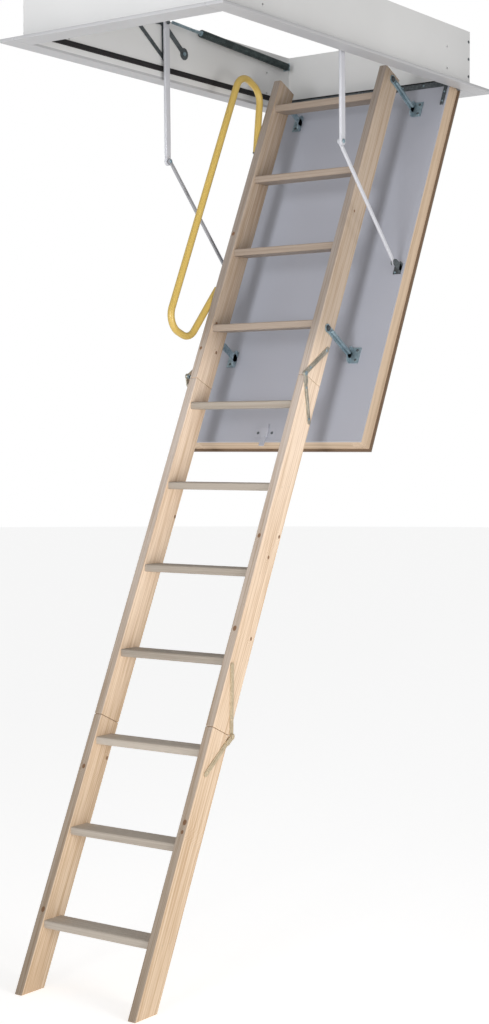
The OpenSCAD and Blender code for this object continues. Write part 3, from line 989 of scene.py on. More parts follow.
@dataclass
class LiftingGear:
    """The arm brackets, springs, folding arms and links on both sides of the hatch."""

    pivot: Pair = (-64 * MM, 173 * MM)
    elbow: Pair = (-58 * MM, -273 * MM)
    brace_front: Pair = (-211 * MM, 163 * MM)
    brace_low: Pair = (-59 * MM, 59 * MM)
    brace_rear: Pair = (46 * MM, 92 * MM)
    spring_x: float = 335 * MM
    spring_front: Pair = (118 * MM, 171 * MM)
    spring_rear: Pair = (622 * MM, 146 * MM)
    spring_r: float = 13 * MM
    wire_r: float = 2.0 * MM
    arm_x: float = 330 * MM
    link_x: float = 321 * MM

    def build(self, arm: Finish, dark: Finish, spring: Finish, plated: Finish) -> None:
        """Builds the pieces on both sides.

        Args:
            arm: Finish of the arms and the right link; the left link gets a darker grey copy of it,
                painted shade.
            dark: Finish of the brackets.
            spring: Finish of the springs.
            plated: Finish of the rods and rivets.
        """
        dress(plated, "spring_rods", "spring_anchors")
        # The left link faces away from the light: a darker grey copy of the white coat stands in as
        # painted shade.
        grain_streak_and_painted_shade = PowderCoat("link_coat_painted_shade", (0.30, 0.305, 0.325), rough=0.42).build()
        for side in Side:
            self.bracket(side, dark, plated)
            self.coil(side, spring)
            self.upper_arm(side, arm)
            self.lower_link(side, arm if side is Side.RIGHT else grain_streak_and_painted_shade)
        self.rivets(plated)

    def bracket(self, side: Side, dark: Finish, plated: Finish) -> None:
        """Builds one side's braced bracket with its pivot, and the bolts that hold it.

        Args:
            side: The side that it is on.
            dark: Finish of the bracket.
            plated: Finish of the bolts.
        """
        shape = Shape()
        x0 = outward(side, 346.8 * MM, 3 * MM)
        links = ((self.brace_front, self.pivot, 14, 9, 15),
                 (self.brace_front, self.brace_low, 14, 9, 9),
                 (self.brace_low, self.pivot, 16, 9, 15),
                 (self.pivot, self.brace_rear, 18, 15, 20))
        for i, (a, b, w, r1, r2) in enumerate(links):
            layer = x0 - side.value * i * 0.02 * MM
            shape.plate(capsule(a, b, w * MM, r1 * MM, r2 * MM), layer, 3 * MM)
        shape.pin(side, self.pivot, 347 * MM, 340.4 * MM, 11 * MM, 28, 0.6 * MM)
        shape.pin(side, self.pivot, 341 * MM, 326 * MM, 5 * MM, 20, 0.5 * MM)
        shape.pin(side, self.pivot, 329.6 * MM, 325.2 * MM, 8 * MM, 28, 1.4 * MM)
        shape.finish(f"arm_brace_{side.word}", Body.FRAME, dark, "dark_steel",
                     [f"arm_bracket_{side.word}"])
        bolts = Shape()
        for at in (self.brace_front, self.brace_low, self.brace_rear):
            bolts.pin(side, at, 347 * MM, 345.8 * MM, 6.8 * MM, 24, 0.3 * MM)
            bolts.pin(side, at, 346 * MM, 342.4 * MM, 5.2 * MM, 6, 0.5 * MM)
        bolts.finish(f"arm_brace_bolts_{side.word}", Body.FRAME, plated, "galvanised")

    def coil(self, side: Side, spring: Finish) -> None:
        """Builds one close-wound spring.

        Args:
            side: The side that it is on.
            spring: Its finish.
        """
        shape = Shape()
        start = Vector((side.value * self.spring_x, *self.spring_front))
        end = Vector((side.value * self.spring_x, *self.spring_rear))
        along = (end - start).normalized()
        run = (end - start).length - 2 * self.wire_r
        turns, steps = int(run / (2 * self.wire_r * 1.01)), 14
        mean = self.spring_r - self.wire_r
        out = Vector((1, 0, 0))
        centre = start + along * self.wire_r
        turn = along.cross(out).to_track_quat("Z", "Y").to_matrix().to_4x4()
        made = bmesh.ops.create_circle(
            shape.bm, cap_ends=False, segments=7, radius=self.wire_r,
            matrix=Matrix.Translation(centre + out * mean) @ turn)["verts"]
        edges = list(dict.fromkeys(e for v in made for e in v.link_edges))
        bmesh.ops.spin(shape.bm, geom=list(made) + edges, cent=centre, axis=along,
                       angle=2 * pi * turns, steps=turns * steps,
                       dvec=along * (run / (turns * steps)), use_duplicate=False)
        open_ends = [e for e in shape.bm.edges if e.is_boundary]
        bmesh.ops.holes_fill(shape.bm, edges=open_ends, sides=8)
        shape.finish(f"coil_spring_{side.word}", Body.FRAME, spring, "spring_steel",
                     [f"spring_{side.word}"], smooth=60.0)

    def upper_arm(self, side: Side, arm: Finish) -> None:
        """Builds one upper arm: a flattened tube with pressed eyes.

        Args:
            side: The side that it is on.
            arm: Its finish.
        """
        shape = Shape()
        x0 = outward(side, self.arm_x, 10 * MM)
        a, b = self.pivot, self.elbow
        shape.plate(capsule(a, b, 23 * MM, 13 * MM, 13 * MM), x0 + 1 * MM, 8 * MM, 1.0 * MM, 2)
        eye = 26 * MM
        down = (b[0] + eye * (a[0] - b[0]) / hypot(a[0] - b[0], a[1] - b[1]), b[1] + eye)
        up = (a[0] - 0.4 * MM, a[1] - eye)
        shape.plate(capsule(up, down, 24 * MM, 12 * MM, 12 * MM), x0, 10 * MM, 3.0 * MM, 3)
        shape.finish(f"folding_arm_upper_{side.word}", Body.ARMS, arm, "arm_white",
                     [f"upper_arm_{side.word}"])

    def lower_link(self, side: Side, arm: Finish) -> None:
        """Builds one lower link with its two eyes.

        Args:
            side: The side that it is on.
            arm: Its finish.
        """
        shape = Shape()
        x0 = outward(side, self.link_x, 8 * MM)
        foot = joint_place("lower_link_swing")
        a, b = self.elbow, (foot.y, foot.z)
        shape.plate(capsule(a, b, 11.6 * MM, 9 * MM, 9 * MM), x0 + 1.2 * MM, 5.6 * MM, 1.0 * MM, 2)
        inner = [(a[0] + t * (b[0] - a[0]), a[1] + t * (b[1] - a[1])) for t in (0.05, 0.95)]
        shape.plate(capsule(inner[0], inner[1], 12 * MM, 6 * MM, 6 * MM), x0, 8 * MM, 2.4 * MM, 3)
        shape.finish(f"folding_arm_lower_{side.word}", Body.LINKS, arm, "arm_white",
                     [f"lower_link_{side.word}"])

    def rivets(self, plated: Finish) -> None:
        """Builds the rivets at the elbows: the outer heads on the arms, the inner on the links.

        Args:
            plated: Finish of the rivets.
        """
        outer, inner = Shape(), Shape()
        for side in Side:
            s = side.value
            dome_head(outer, (s * 339.8 * MM, *self.elbow), (s, 0, 0), 7 * MM, 3 * MM)
            dome_head(inner, (s * 322.4 * MM, *self.elbow), (-s, 0, 0), 6 * MM, 3.4 * MM)
        outer.finish("elbow_rivets_outer", Body.ARMS, plated, "galvanised")
        inner.finish("elbow_rivets_inner", Body.LINKS, plated, "galvanised")


# ---- Hatch ----


@dataclass
class Hatch:
    """The insulated hatch with its hinge, latch and the feet of the links."""

    face: float = 205 * MM
    latch_x: float = -29 * MM
    foot_up: float = -597 * MM
    outer_skin: float = 266.6 * MM
    foot_l: float = 38 * MM
    foot_w: float = 28 * MM

    def build(self, foil: Finish, wood: Finish, top_wood: Finish, foam: Finish, dark: Finish,
              plated: Finish, zinc: Finish, pale: Finish) -> None:
        """Builds the hatch's pieces.

        Args:
            foil: Finish of the inner face and the latch bolt, darker and bluer than the outer
                face's copy: painted shade.
            wood: Finish of the rails along the slope.
            top_wood: Finish of the rails across it.
            foam: Finish of the insulation.
            dark: Finish of the hinge and the link feet.
            plated: Finish of the pins.
            zinc: Finish of the strike.
            pale: Finish of the latch's case, a darker copy of the white coat that is painted shade.
        """
        dress(foil, "hatch_inner_panel", "latch_bolt")
        outer = FoilFace("hatch_outer_foil", (0.74, 0.745, 0.76), self.outer_skin).build()
        dress(outer, "hatch_outer_panel")
        dress(wood, "hatch_rail_left", "hatch_rail_right")
        dress(top_wood, "hatch_rail_top", "hatch_rail_bottom")
        dress(foam, "hatch_insulation")
        dress(dark, "hatch_hinge_fixed", "hatch_hinge_moving")
        dress(plated, "hatch_hinge_pins")
        dress(zinc, "latch_strike")
        self.hinge_screws(plated)
        self.latch(pale, dark)
        for side in Side:
            self.link_foot(side, dark, plated)

    def hinge_screws(self, plated: Finish) -> None:
        """Builds the screws along the moving leaf's flange and down its two straps.

        Args:
            plated: Finish of the screws.
        """
        shape = Shape(ON_SLOPE.matrix())
        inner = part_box("hatch_inner_panel")
        rim = ON_SLOPE.local(inner[1].y, inner[1].z)[1] - 9 * MM
        for i in range(-4, 5):
            start = (i * 80 * MM, self.face - 2 * MM, rim)
            dome_head(shape, start, (0, -1, 0), 3.6 * MM, 1.2 * MM)
        for side in Side:
            for drop in (35 * MM, 70 * MM):
                start = (side.value * 328 * MM, self.face - 3 * MM, rim - drop)
                dome_head(shape, start, (0, -1, 0), 3.4 * MM, 1.2 * MM)
        shape.finish("hinge_screws", Body.HATCH, plated, "galvanised")

    def latch(self, pale: Finish, dark: Finish) -> None:
        """Builds the latch's case, its two screws and the hook eye between them.

        Args:
            pale: Finish of the case.
            dark: Finish of the screws.
        """
        low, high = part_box("latch_case")
        up = ON_SLOPE.local((low.y + high.y) / 2, (low.z + high.z) / 2)[1]
        shape = Shape(ON_SLOPE.matrix())
        shape.block((self.latch_x - 38 * MM, self.face - 1.6 * MM, up - 15 * MM),
                    (self.latch_x + 38 * MM, self.face, up + 15 * MM), 0.7 * MM)
        shape.block((self.latch_x - 14 * MM, self.face - 9 * MM, up - 15 * MM),
                    (self.latch_x + 14 * MM, self.face - 0.4 * MM, up + 15 * MM), 2.6 * MM, 3)
        shape.finish("latch_plate", Body.HATCH, pale, "galvanised", ["latch_case"])
        screws = Shape(ON_SLOPE.matrix())
        for x in (-27 * MM, 27 * MM):
            start = (self.latch_x + x, self.face - 1.6 * MM, up)
            dome_head(screws, start, (0, -1, 0), 5.0 * MM, 2.2 * MM)
        screws.finish("latch_screws", Body.HATCH, dark, "dark_steel")

    def link_foot(self, side: Side, dark: Finish, plated: Finish) -> None:
        """Builds the bracket on the hatch that one lower link turns on.

        Args:
            side: The side that it is on.
            dark: Finish of the bracket.
            plated: Finish of its screws.
        """
        shape = Shape(ON_SLOPE.matrix())
        ear, up = 329.3 * MM, self.foot_up
        x0 = outward(side, ear, 3 * MM)
        depth = self.face - 40 * MM
        shape.plate(capsule((depth, up), (self.face - 12 * MM, up), 24 * MM, 12 * MM, 12 * MM),
                    x0, 3 * MM)
        low, high, web = up - self.foot_l / 2, up + self.foot_l / 2, self.face - 16 * MM
        shape.plate([(web, low), (self.face, low), (self.face, high), (web, high)], x0, 3 * MM)
        foot_x = outward(side, ear - 25 * MM, self.foot_w)
        shape.block((foot_x, self.face - 3 * MM, low), (foot_x + self.foot_w, self.face, high),
                    1.0 * MM)
        shape.pin(side, (depth, up), ear + 0.5 * MM, 320 * MM, 5 * MM, 20, 0.5 * MM)
        shape.pin(side, (depth, up), 320.7 * MM, 317 * MM, 8 * MM, 28, 1.4 * MM)
        shape.finish(f"link_foot_{side.word}", Body.HATCH, dark, "dark_steel",
                     [f"link_bracket_{side.word}"])
        screws = Shape(ON_SLOPE.matrix())
        for drop in (-13 * MM, 13 * MM):
            start = (side.value * (ear - 18 * MM), self.face - 3 * MM, up + drop)
            dome_head(screws, start, (0, -1, 0), 4.0 * MM, 1.8 * MM)
        screws.finish(f"link_foot_screws_{side.word}", Body.HATCH, plated, "galvanised")


# ---- Ladder ----


@dataclass
class Section:
    """One of the three ladder sections: two stiles, its treads and their screws."""

    name: str
    body: Body
    low: float
    high: float
    steps: tuple[int, ...]
    left: Finish
    right: Finish
    tread: Finish
    head: Finish
    half: float = 223 * MM
    stile_t: float = 28 * MM
    stile_d: float = 88 * MM
    floor: float = -2760 * MM
    first_rise: float = 197.2 * MM
    rise: float = 251.8 * MM
    tread_t: float = 23 * MM
    tread_d: float = 78 * MM

    def build(self) -> None:
        """Builds the section."""
        for side in Side:
            self.stile(side)
        self.treads()
        self.screws()

    def stile(self, side: Side) -> None:
        """Builds one stile, cut level where it meets the floor, with rounded edges.

        Args:
            side: The side that it is on.
        """
        shape = Shape()
        x0 = outward(side, self.half - self.stile_t, self.stile_t)
        size = Vector((self.stile_t, self.stile_d, self.high - self.low))
        middle = Vector((x0 + size.x / 2, size.y / 2, (self.low + self.high) / 2))
        place = ON_SLOPE.matrix() @ Matrix.Translation(middle) @ Matrix.Diagonal((*size, 1.0))
        bmesh.ops.create_cube(shape.bm, size=1.0, matrix=place)
        everything = shape.bm.verts[:] + shape.bm.edges[:] + shape.bm.faces[:]
        cut = bmesh.ops.bisect_plane(shape.bm, geom=everything, plane_co=(0, 0, self.floor),
                                     plane_no=(0, 0, -1), clear_outer=True)["geom_cut"]
        rim = [e for e in cut if isinstance(e, bmesh.types.BMEdge)]
        if rim:
            bmesh.ops.holes_fill(shape.bm, edges=rim, sides=0)
        bmesh.ops.bevel(shape.bm, geom=shape.bm.edges[:], offset=2.6 * MM, offset_type="OFFSET",
                        segments=3, affect="EDGES", profile=0.5, material=-1)
        paint = self.left if side is Side.LEFT else self.right
        shape.finish(f"stile_{self.name}_{side.word}_planed", self.body, paint, "pine",
                     [f"stile_{self.name}_{side.word}"])

    def tread_top(self, step: int) -> Pair:
        """The front edge's Y and the top's Z of a tread.

        Args:
            step: The tread's number from the floor.

        Returns:
            Its Y and Z.
        """
        top = self.floor + self.first_rise + step * self.rise
        return ON_SLOPE.front_y + top / tan(SLOPE) + 5 * MM, top

    def treads(self) -> None:
        """Builds the treads: rounded boards with grooves along their tops."""
        shape = Shape()
        half = self.half - self.stile_t + 7.8 * MM
        for step in self.steps:
            y, top = self.tread_top(step)
            shape.block((-half, y, top - self.tread_t), (half, y + self.tread_d, top), 5.0 * MM, 4)
        for step in self.steps:
            self.grooves(shape, *self.tread_top(step))
        shape.finish(f"treads_{self.name}_grooved", self.body, self.tread, "tread_wood",
                     [f"treads_{self.name}"])

    def grooves(self, shape: Shape, y: float, top: float) -> None:
        """Cuts five grooves into the top of one tread.

        Args:
            shape: The treads.
            y: Y of the tread's front edge.
            top: Z of its top.
        """
        width, depth, first, pitch = 2.6 * MM, 1.3 * MM, 14, 12.5

        def upper_faces() -> list[bmesh.types.BMFace]:
            """The faces that lie level in this tread's top."""
            return [f for f in shape.bm.faces
                    if f.normal.z > 0.99 and abs(f.calc_center_median().z - top) < 1e-5]

        for i in range(5):
            place = y + (first + pitch * i) * MM
            for edge in (place, place + width):
                faces = upper_faces()
                geom = (faces + list(dict.fromkeys(e for f in faces for e in f.edges))
                        + list(dict.fromkeys(v for f in faces for v in f.verts)))
                bmesh.ops.bisect_plane(shape.bm, geom=geom, plane_co=(0, edge, 0),
                                       plane_no=(0, 1, 0))
            strip = [f for f in upper_faces()
                     if place < f.calc_center_median().y < place + width]
            sunk = bmesh.ops.extrude_face_region(shape.bm, geom=strip)["geom"]
            bmesh.ops.delete(shape.bm, geom=strip, context="FACES_ONLY")
            floor = [v for v in sunk if isinstance(v, bmesh.types.BMVert)]
            bmesh.ops.translate(shape.bm, verts=floor, vec=(0, 0, -depth))

    def screws(self) -> None:
        """Builds the flush screw heads at the ends of the treads."""
        shape = Shape()
        for step in self.steps:
            y, top = self.tread_top(step)
            for side in Side:
                for share in (0.3, 0.7):
                    start = (side.value * (self.half - 1.2 * MM), y + share * self.tread_d,
                             top - self.tread_t / 2)
                    dome_head(shape, start, (side.value, 0, 0), 3.4 * MM, 1.3 * MM)
        shape.finish(f"tread_screw_heads_{self.name}", self.body, self.head, "dark_steel",
                     [f"tread_screws_{self.name}"])


@dataclass
class FoldHinge:
    """One pair of hinges between two sections: straps on the outer faces of the stiles."""

    number: int
    pivot: Pair
    upper_far: Pair
    lower_far: Pair
    upper: Body
    lower: Body
    half: float = 223 * MM
    strap_t: float = 3 * MM
    strap_w: float = 16 * MM

    def build(self, zinc: Finish, plated: Finish) -> None:
        """Builds the straps, their rivets and the pins.

        Args:
            zinc: Finish of the straps.
            plated: Finish of the rivets and pins.
        """
        tag = f"fold_{self.number}"
        layer_1, layer_2 = self.half, self.half + self.strap_t + 0.5 * MM
        straps = {"upper": Shape(ON_SLOPE.matrix()), "lower": Shape(ON_SLOPE.matrix())}
        rivets = {"upper": Shape(ON_SLOPE.matrix()), "lower": Shape(ON_SLOPE.matrix())}
        pins = Shape(ON_SLOPE.matrix())
        for side in Side:
            for part, far, base in (("upper", self.upper_far, layer_1),
                                    ("lower", self.lower_far, layer_2)):
                self.strap(straps[part], rivets[part], side, far, base)
            for start, end, radius, sides, soften in (
                    (layer_1 - 3 * MM, layer_2 + 5 * MM, 4, 18, 0.4),
                    (layer_2 + 3.3 * MM, layer_2 + 5.3 * MM, 7, 24, 0.9),
                    (layer_1 - 0.1 * MM, layer_1 - 3 * MM, 7, 24, 0.9)):
                pins.pin(side, self.pivot, start, end, radius * MM, sides, soften * MM)
        for part, body in (("upper", self.upper), ("lower", self.lower)):
            straps[part].finish(f"{tag}_{part}_pressed_straps", body, zinc, "zinc",
                                [f"{tag}_{part}_straps"])
            rivets[part].finish(f"{tag}_{part}_rivets", body, plated, "galvanised")
        pins.finish(f"{tag}_hinge_pins", self.upper, plated, "zinc", [f"{tag}_pins"])

    def strap(self, shape: Shape, rivets: Shape, side: Side, far: Pair, base: float) -> None:
        """Builds one strap from its eye to its far end, with a pressed rib along its middle.

        Args:
            shape: The shape that takes the strap.
            rivets: The shape that takes its rivets.
            side: The side that it is on.
            far: The middle of its far end.
            base: How far out its eye lies.
        """
        run = hypot(far[0] - self.pivot[0], far[1] - self.pivot[1])

        def along(distance: float) -> Pair:
            """The point that lies this far from the pivot towards the far end."""
            share = distance / run
            return (self.pivot[0] + share * (far[0] - self.pivot[0]),
                    self.pivot[1] + share * (far[1] - self.pivot[1]))

        eye_r, end_r = 10 * MM, self.strap_w / 2
        lies_over = base > self.half + 1 * MM
        start = along(26 * MM) if lies_over else self.pivot
        if lies_over:
            shape.plate(capsule(self.pivot, start, self.strap_w, eye_r, end_r),
                        outward(side, base, self.strap_t), self.strap_t)
            joggle = base - self.half + 0.2 * MM
            shape.plate(capsule(start, along(27 * MM), self.strap_w, end_r, end_r),
                        outward(side, self.half, joggle), joggle)
        shape.plate(capsule(start, far, self.strap_w, end_r if lies_over else eye_r, end_r),
                    outward(side, self.half, self.strap_t), self.strap_t)
        rib_ends = (along(max(40 * MM, 0.3 * run)), along(0.86 * run))
        shape.plate(capsule(rib_ends[0], rib_ends[1], 6 * MM, 3 * MM, 3 * MM),
                    outward(side, self.half + self.strap_t - 0.2 * MM, 1.4 * MM),
                    1.4 * MM, 0.6 * MM)
        top = side.value * (self.half + self.strap_t - 0.1 * MM)
        for share in (0.3 if lies_over else 0.24, 0.94):
            dome_head(rivets, (top, *along(share * run)), (side.value, 0, 0), 4.4 * MM, 1.7 * MM)


@dataclass
class LadderBrackets:
    """The four pressed brackets that hold the ladder to the hatch."""

    ups: Pair = (26 * MM, -888 * MM)
    depth: float = 48 * MM
    drop: float = 16 * MM
    half: float = 223 * MM
    face: float = 205 * MM

    def build(self, plated: Finish, dark: Finish) -> None:
        """Builds the brackets and their bolts.

        Args:
            plated: Finish of the brackets.
            dark: Finish of the bolts.
        """
        bolts, screws = Shape(ON_SLOPE.matrix()), Shape(ON_SLOPE.matrix())
        for word, up in zip(("upper", "lower"), self.ups):
            for side in Side:
                self.bracket(f"ladder_bracket_{word}_{side.word}", side, up, plated)
                hex_bolt(bolts, side, (self.depth, up), self.half + 3 * MM, 8 * MM, 5 * MM)
                for step in (-17 * MM, 17 * MM):
                    start = (side.value * (self.half + 22 * MM), self.face - 3 * MM,
                             up - self.drop + step)
                    dome_head(screws, start, (0, -1, 0), 4.6 * MM, 2.2 * MM)
        bolts.finish("ladder_bracket_coach_bolts", Body.HATCH, dark, "dark_steel",
                     ["ladder_bracket_bolts"])
        screws.finish("ladder_bracket_screws", Body.HATCH, dark, "dark_steel")

    def bracket(self, node: str, side: Side, up: float, plated: Finish) -> None:
        """Builds one bracket: a side plate with a pressed rib, and a foot on the hatch.

        Args:
            node: The CAD node that it replaces.
            side: The side that it is on.
            up: Height of its bolt along the slope.
            plated: Its finish.
        """
        shape = Shape(ON_SLOPE.matrix())
        foot = (self.face - 14 * MM, up - self.drop)
        x0 = outward(side, self.half, 3 * MM)
        shape.plate(capsule((self.depth, up), foot, 24 * MM, 14 * MM, 14 * MM), x0, 3 * MM)
        low, high = foot[1] - 28 * MM, foot[1] + 28 * MM
        slant = 8 * MM
        shape.plate([(foot[0] - slant, low + slant), (foot[0], low), (self.face, low),
                     (self.face, high), (foot[0], high), (foot[0] - slant, high - slant)],
                    x0, 3 * MM)
        rib = capsule((self.depth + 22 * MM, up - 2 * MM), (foot[0] - slant, foot[1] + 1 * MM),
                      10 * MM, 5 * MM, 5 * MM)
        shape.plate(rib, outward(side, self.half + 2.8 * MM, 8 * MM), 8 * MM, 2.8 * MM, 3)
        flange_w = 34 * MM
        flange_x = outward(side, self.half, flange_w)
        shape.block((flange_x, self.face - 3 * MM, low), (flange_x + flange_w, self.face, high),
                    1.1 * MM)
        shape.finish(f"{node}_pressed", Body.HATCH, plated, "galvanised", [node])


@dataclass
class Handrail:
    """The bent tube handrail beside the top section."""

    line: tuple[Pair, ...] = ((26, -215), (-38, -22), (-161, -22), (-161, -966), (-40, -955),
                              (26, -735))
    bend: float = 56 * MM
    radius: float = 11.5 * MM
    x: float = -(223 + 11.5 + 0.3) * MM

    def build(self, yellow: Finish, plated: Finish) -> None:
        """Builds the tube, and its end screws and plates.

        Args:
            yellow: Finish of the tube.
            plated: Finish of the plates.
        """
        shape = Shape(ON_SLOPE.matrix())
        points = [Vector((self.x, a * MM, b * MM)) for a, b in self.line]
        heading = (points[1] - points[0]).normalized()
        turn = heading.to_track_quat("Z", "Y").to_matrix().to_4x4()
        made = bmesh.ops.create_circle(shape.bm, cap_ends=True, segments=24, radius=self.radius,
                                       matrix=Matrix.Translation(points[0]) @ turn)["verts"]
        ring = list(dict.fromkeys(e for v in made for e in v.link_edges))
        here = points[0]
        for i in range(1, len(points)):
            if i == len(points) - 1:
                ring = self.push(shape, ring, points[i] - here)
                break
            into = (points[i] - points[i - 1]).normalized()
            out = (points[i + 1] - points[i]).normalized()
            angle = into.angle(out)
            set_back = self.bend * tan(angle / 2)
            start = points[i] - into * set_back
            ring = self.push(shape, ring, start - here)
            axis = into.cross(out).normalized()
            centre = start + axis.cross(into) * self.bend
            corners = list(dict.fromkeys(v for e in ring for v in e.verts))
            turned = bmesh.ops.spin(shape.bm, geom=ring + corners, cent=centre, axis=axis,
                                    angle=angle, steps=max(6, int(angle / radians(6))),
                                    use_duplicate=False)
            ring = [g for g in turned["geom_last"] if isinstance(g, bmesh.types.BMEdge)]
            here = points[i] + out * set_back
        open_ends = [e for e in shape.bm.edges if e.is_boundary]
        bmesh.ops.holes_fill(shape.bm, edges=open_ends, sides=0)
        caps = [e for f in shape.bm.faces if len(f.verts) > 12 for e in f.edges]
        bmesh.ops.bevel(shape.bm, geom=caps, offset=2.2 * MM, segments=3, affect="EDGES",
                        profile=0.5, material=-1)
        shape.finish("handrail_tube", Body.HATCH, yellow, "handrail_yellow", ["handrail"],
                     smooth=50.0)
        dress(plated, "handrail_clips")
        screws = Shape(ON_SLOPE.matrix())
        for a, b in (self.line[0], self.line[-1]):
            start = (self.x - self.radius + 0.8 * MM, a * MM, b * MM)
            dome_head(screws, start, (-1, 0, 0), 5.2 * MM, 2.4 * MM)
        screws.finish("handrail_screws", Body.HATCH, plated, "galvanised")

    @staticmethod
    def push(shape: Shape, ring: list[bmesh.types.BMEdge],
             vec: Vector) -> list[bmesh.types.BMEdge]:
        """Extrudes the tube's open end straight on.

        Args:
            shape: The shape.
            ring: The edges of the open end.
            vec: How far to go.

        Returns:
            The new open end.
        """
        grown = bmesh.ops.extrude_edge_only(shape.bm, edges=ring)["geom"]
        moved = [v for v in grown if isinstance(v, bmesh.types.BMVert)]
        bmesh.ops.translate(shape.bm, verts=moved, vec=vec)
        return [e for e in grown if isinstance(e, bmesh.types.BMEdge) and e.is_boundary]


# ---- Studio ----


@dataclass(frozen=True)
class Softbox:
    """One soft studio light."""

    name: str
    place: tuple[float, float, float]
    aim: tuple[float, float, float]
    size: float
    power: float
    tint: Colour = (1.0, 1.0, 1.0)
    spread: float = 180.0
    tall: float = 0.0

    def build(self) -> None:
        """Adds the light, square unless a height is given."""
        data = bpy.data.lights.new(self.name, "AREA")
        data.spread = radians(self.spread)
        data.shape = "RECTANGLE"
        data.size = self.size
        data.size_y = self.tall or self.size
        data.energy = self.power
        data.color = self.tint
        lamp = bpy.data.objects.new(self.name, data)
        lamp.location = self.place
        gaze = Vector(self.aim) - Vector(self.place)
        lamp.rotation_euler = gaze.to_track_quat("-Z", "Y").to_euler()
        bpy.context.scene.collection.objects.link(lamp)


@dataclass
class Studio:
    """The camera, lights, world and floor."""

    camera_at: tuple[float, float, float] = (3.2915, -4.6535, -1.1970)
    yaw: float = 35.85
    pitch: float = 2.05
    focal: float = 63.19
    ambient: float = 0.55
    floor_z: float = -2.7605
    lights: tuple[Softbox, ...] = field(default=(
        Softbox("key_low", (4.2, -1.6, -1.9), (0, -0.8, -1.9), 1.4, 17.0,
                (1.0, 0.97, 0.94), 70.0),
        Softbox("front_strip", (0.9, -5.0, -0.3), (0.05, 0.3, -0.5), 1.0, 13.0,
                (0.97, 0.98, 1.0), 44.0, 3.2),
        Softbox("hatch_edge", (4.0, -0.2, -0.3), (0.2, 0.3, -0.4), 0.8, 0.9,
                (1.0, 0.98, 0.96), 30.0),
    ))

    def build(self, floor: Finish) -> None:
        """Builds the studio.

        Args:
            floor: Finish of the floor.
        """
        data = bpy.data.cameras.new("camera")
        data.lens = self.focal
        data.sensor_width = 36.0
        data.sensor_fit = "AUTO"
        camera = bpy.data.objects.new("camera", data)
        camera.location = self.camera_at
        camera.rotation_euler = (radians(90 - self.pitch), 0, radians(self.yaw))
        bpy.context.scene.collection.objects.link(camera)
        bpy.context.scene.camera = camera
        for light in self.lights:
            light.build()
        world = bpy.data.worlds.new("studio_world")
        world.use_nodes = True
        tree = world.node_tree
        seen = tree.nodes["Background"]
        seen.inputs[0].default_value = (1.0, 1.0, 1.0, 1.0)
        lit = tree.nodes.new("ShaderNodeBackground")
        lit.inputs[1].default_value = self.ambient
        path = tree.nodes.new("ShaderNodeLightPath")
        mix = tree.nodes.new("ShaderNodeMixShader")
        for source, socket in ((path.outputs["Is Camera Ray"], mix.inputs[0]),
                               (lit.outputs[0], mix.inputs[1]), (seen.outputs[0], mix.inputs[2]),
                               (mix.outputs[0], tree.nodes["World Output"].inputs[0])):
            tree.links.new(source, socket)
        bpy.context.scene.world = world
        view = bpy.context.scene.view_settings
        view.view_transform = "Standard"
        view.look = "None"
        bm = bmesh.new()
        bmesh.ops.create_circle(bm, cap_ends=True, segments=64, radius=30.0)
        bmesh.ops.translate(bm, verts=bm.verts, vec=(0, 0, self.floor_z))
        mesh = bpy.data.meshes.new("studio_floor")
        bm.to_mesh(mesh)
        bm.free()
        mesh.materials.append(floor)
        ground = bpy.data.objects.new("studio_floor", mesh)
        bpy.context.scene.collection.objects.link(ground)


# ---- Assembly ----


def pine(name: str, knots: Sequence[Knot] = (), pith: Pair = (0.02, 0.13),
         **changes: Any) -> Finish:
    """Builds the pine of one stile.

    Args:
        name: The material's name.
        knots: Its knots.
        pith: Where the middle of its tree was, across X and depth.
        **changes: Fields of PlanedPine that differ.

    Returns:
        The material.
    """
    given: dict[str, Any] = {
        "light": (0.84, 0.68, 0.535), "dark": (0.58, 0.405, 0.26), "contrast": 0.8,
        "turn": (pi / 2 - SLOPE, 0.0, 0.0), "front_y": ON_SLOPE.front_y,
        # Painted shade on the stiles: darker towards the floor, and a bluer grey on the front face.
        "low_tone": (0.74, 0.70, 0.62), "face_painted_shade": (0.66, 0.70, 0.78),
    }
    given.update(changes)
    return PlanedPine(name=name, knots=tuple(knots), pith=pith, **given).build()


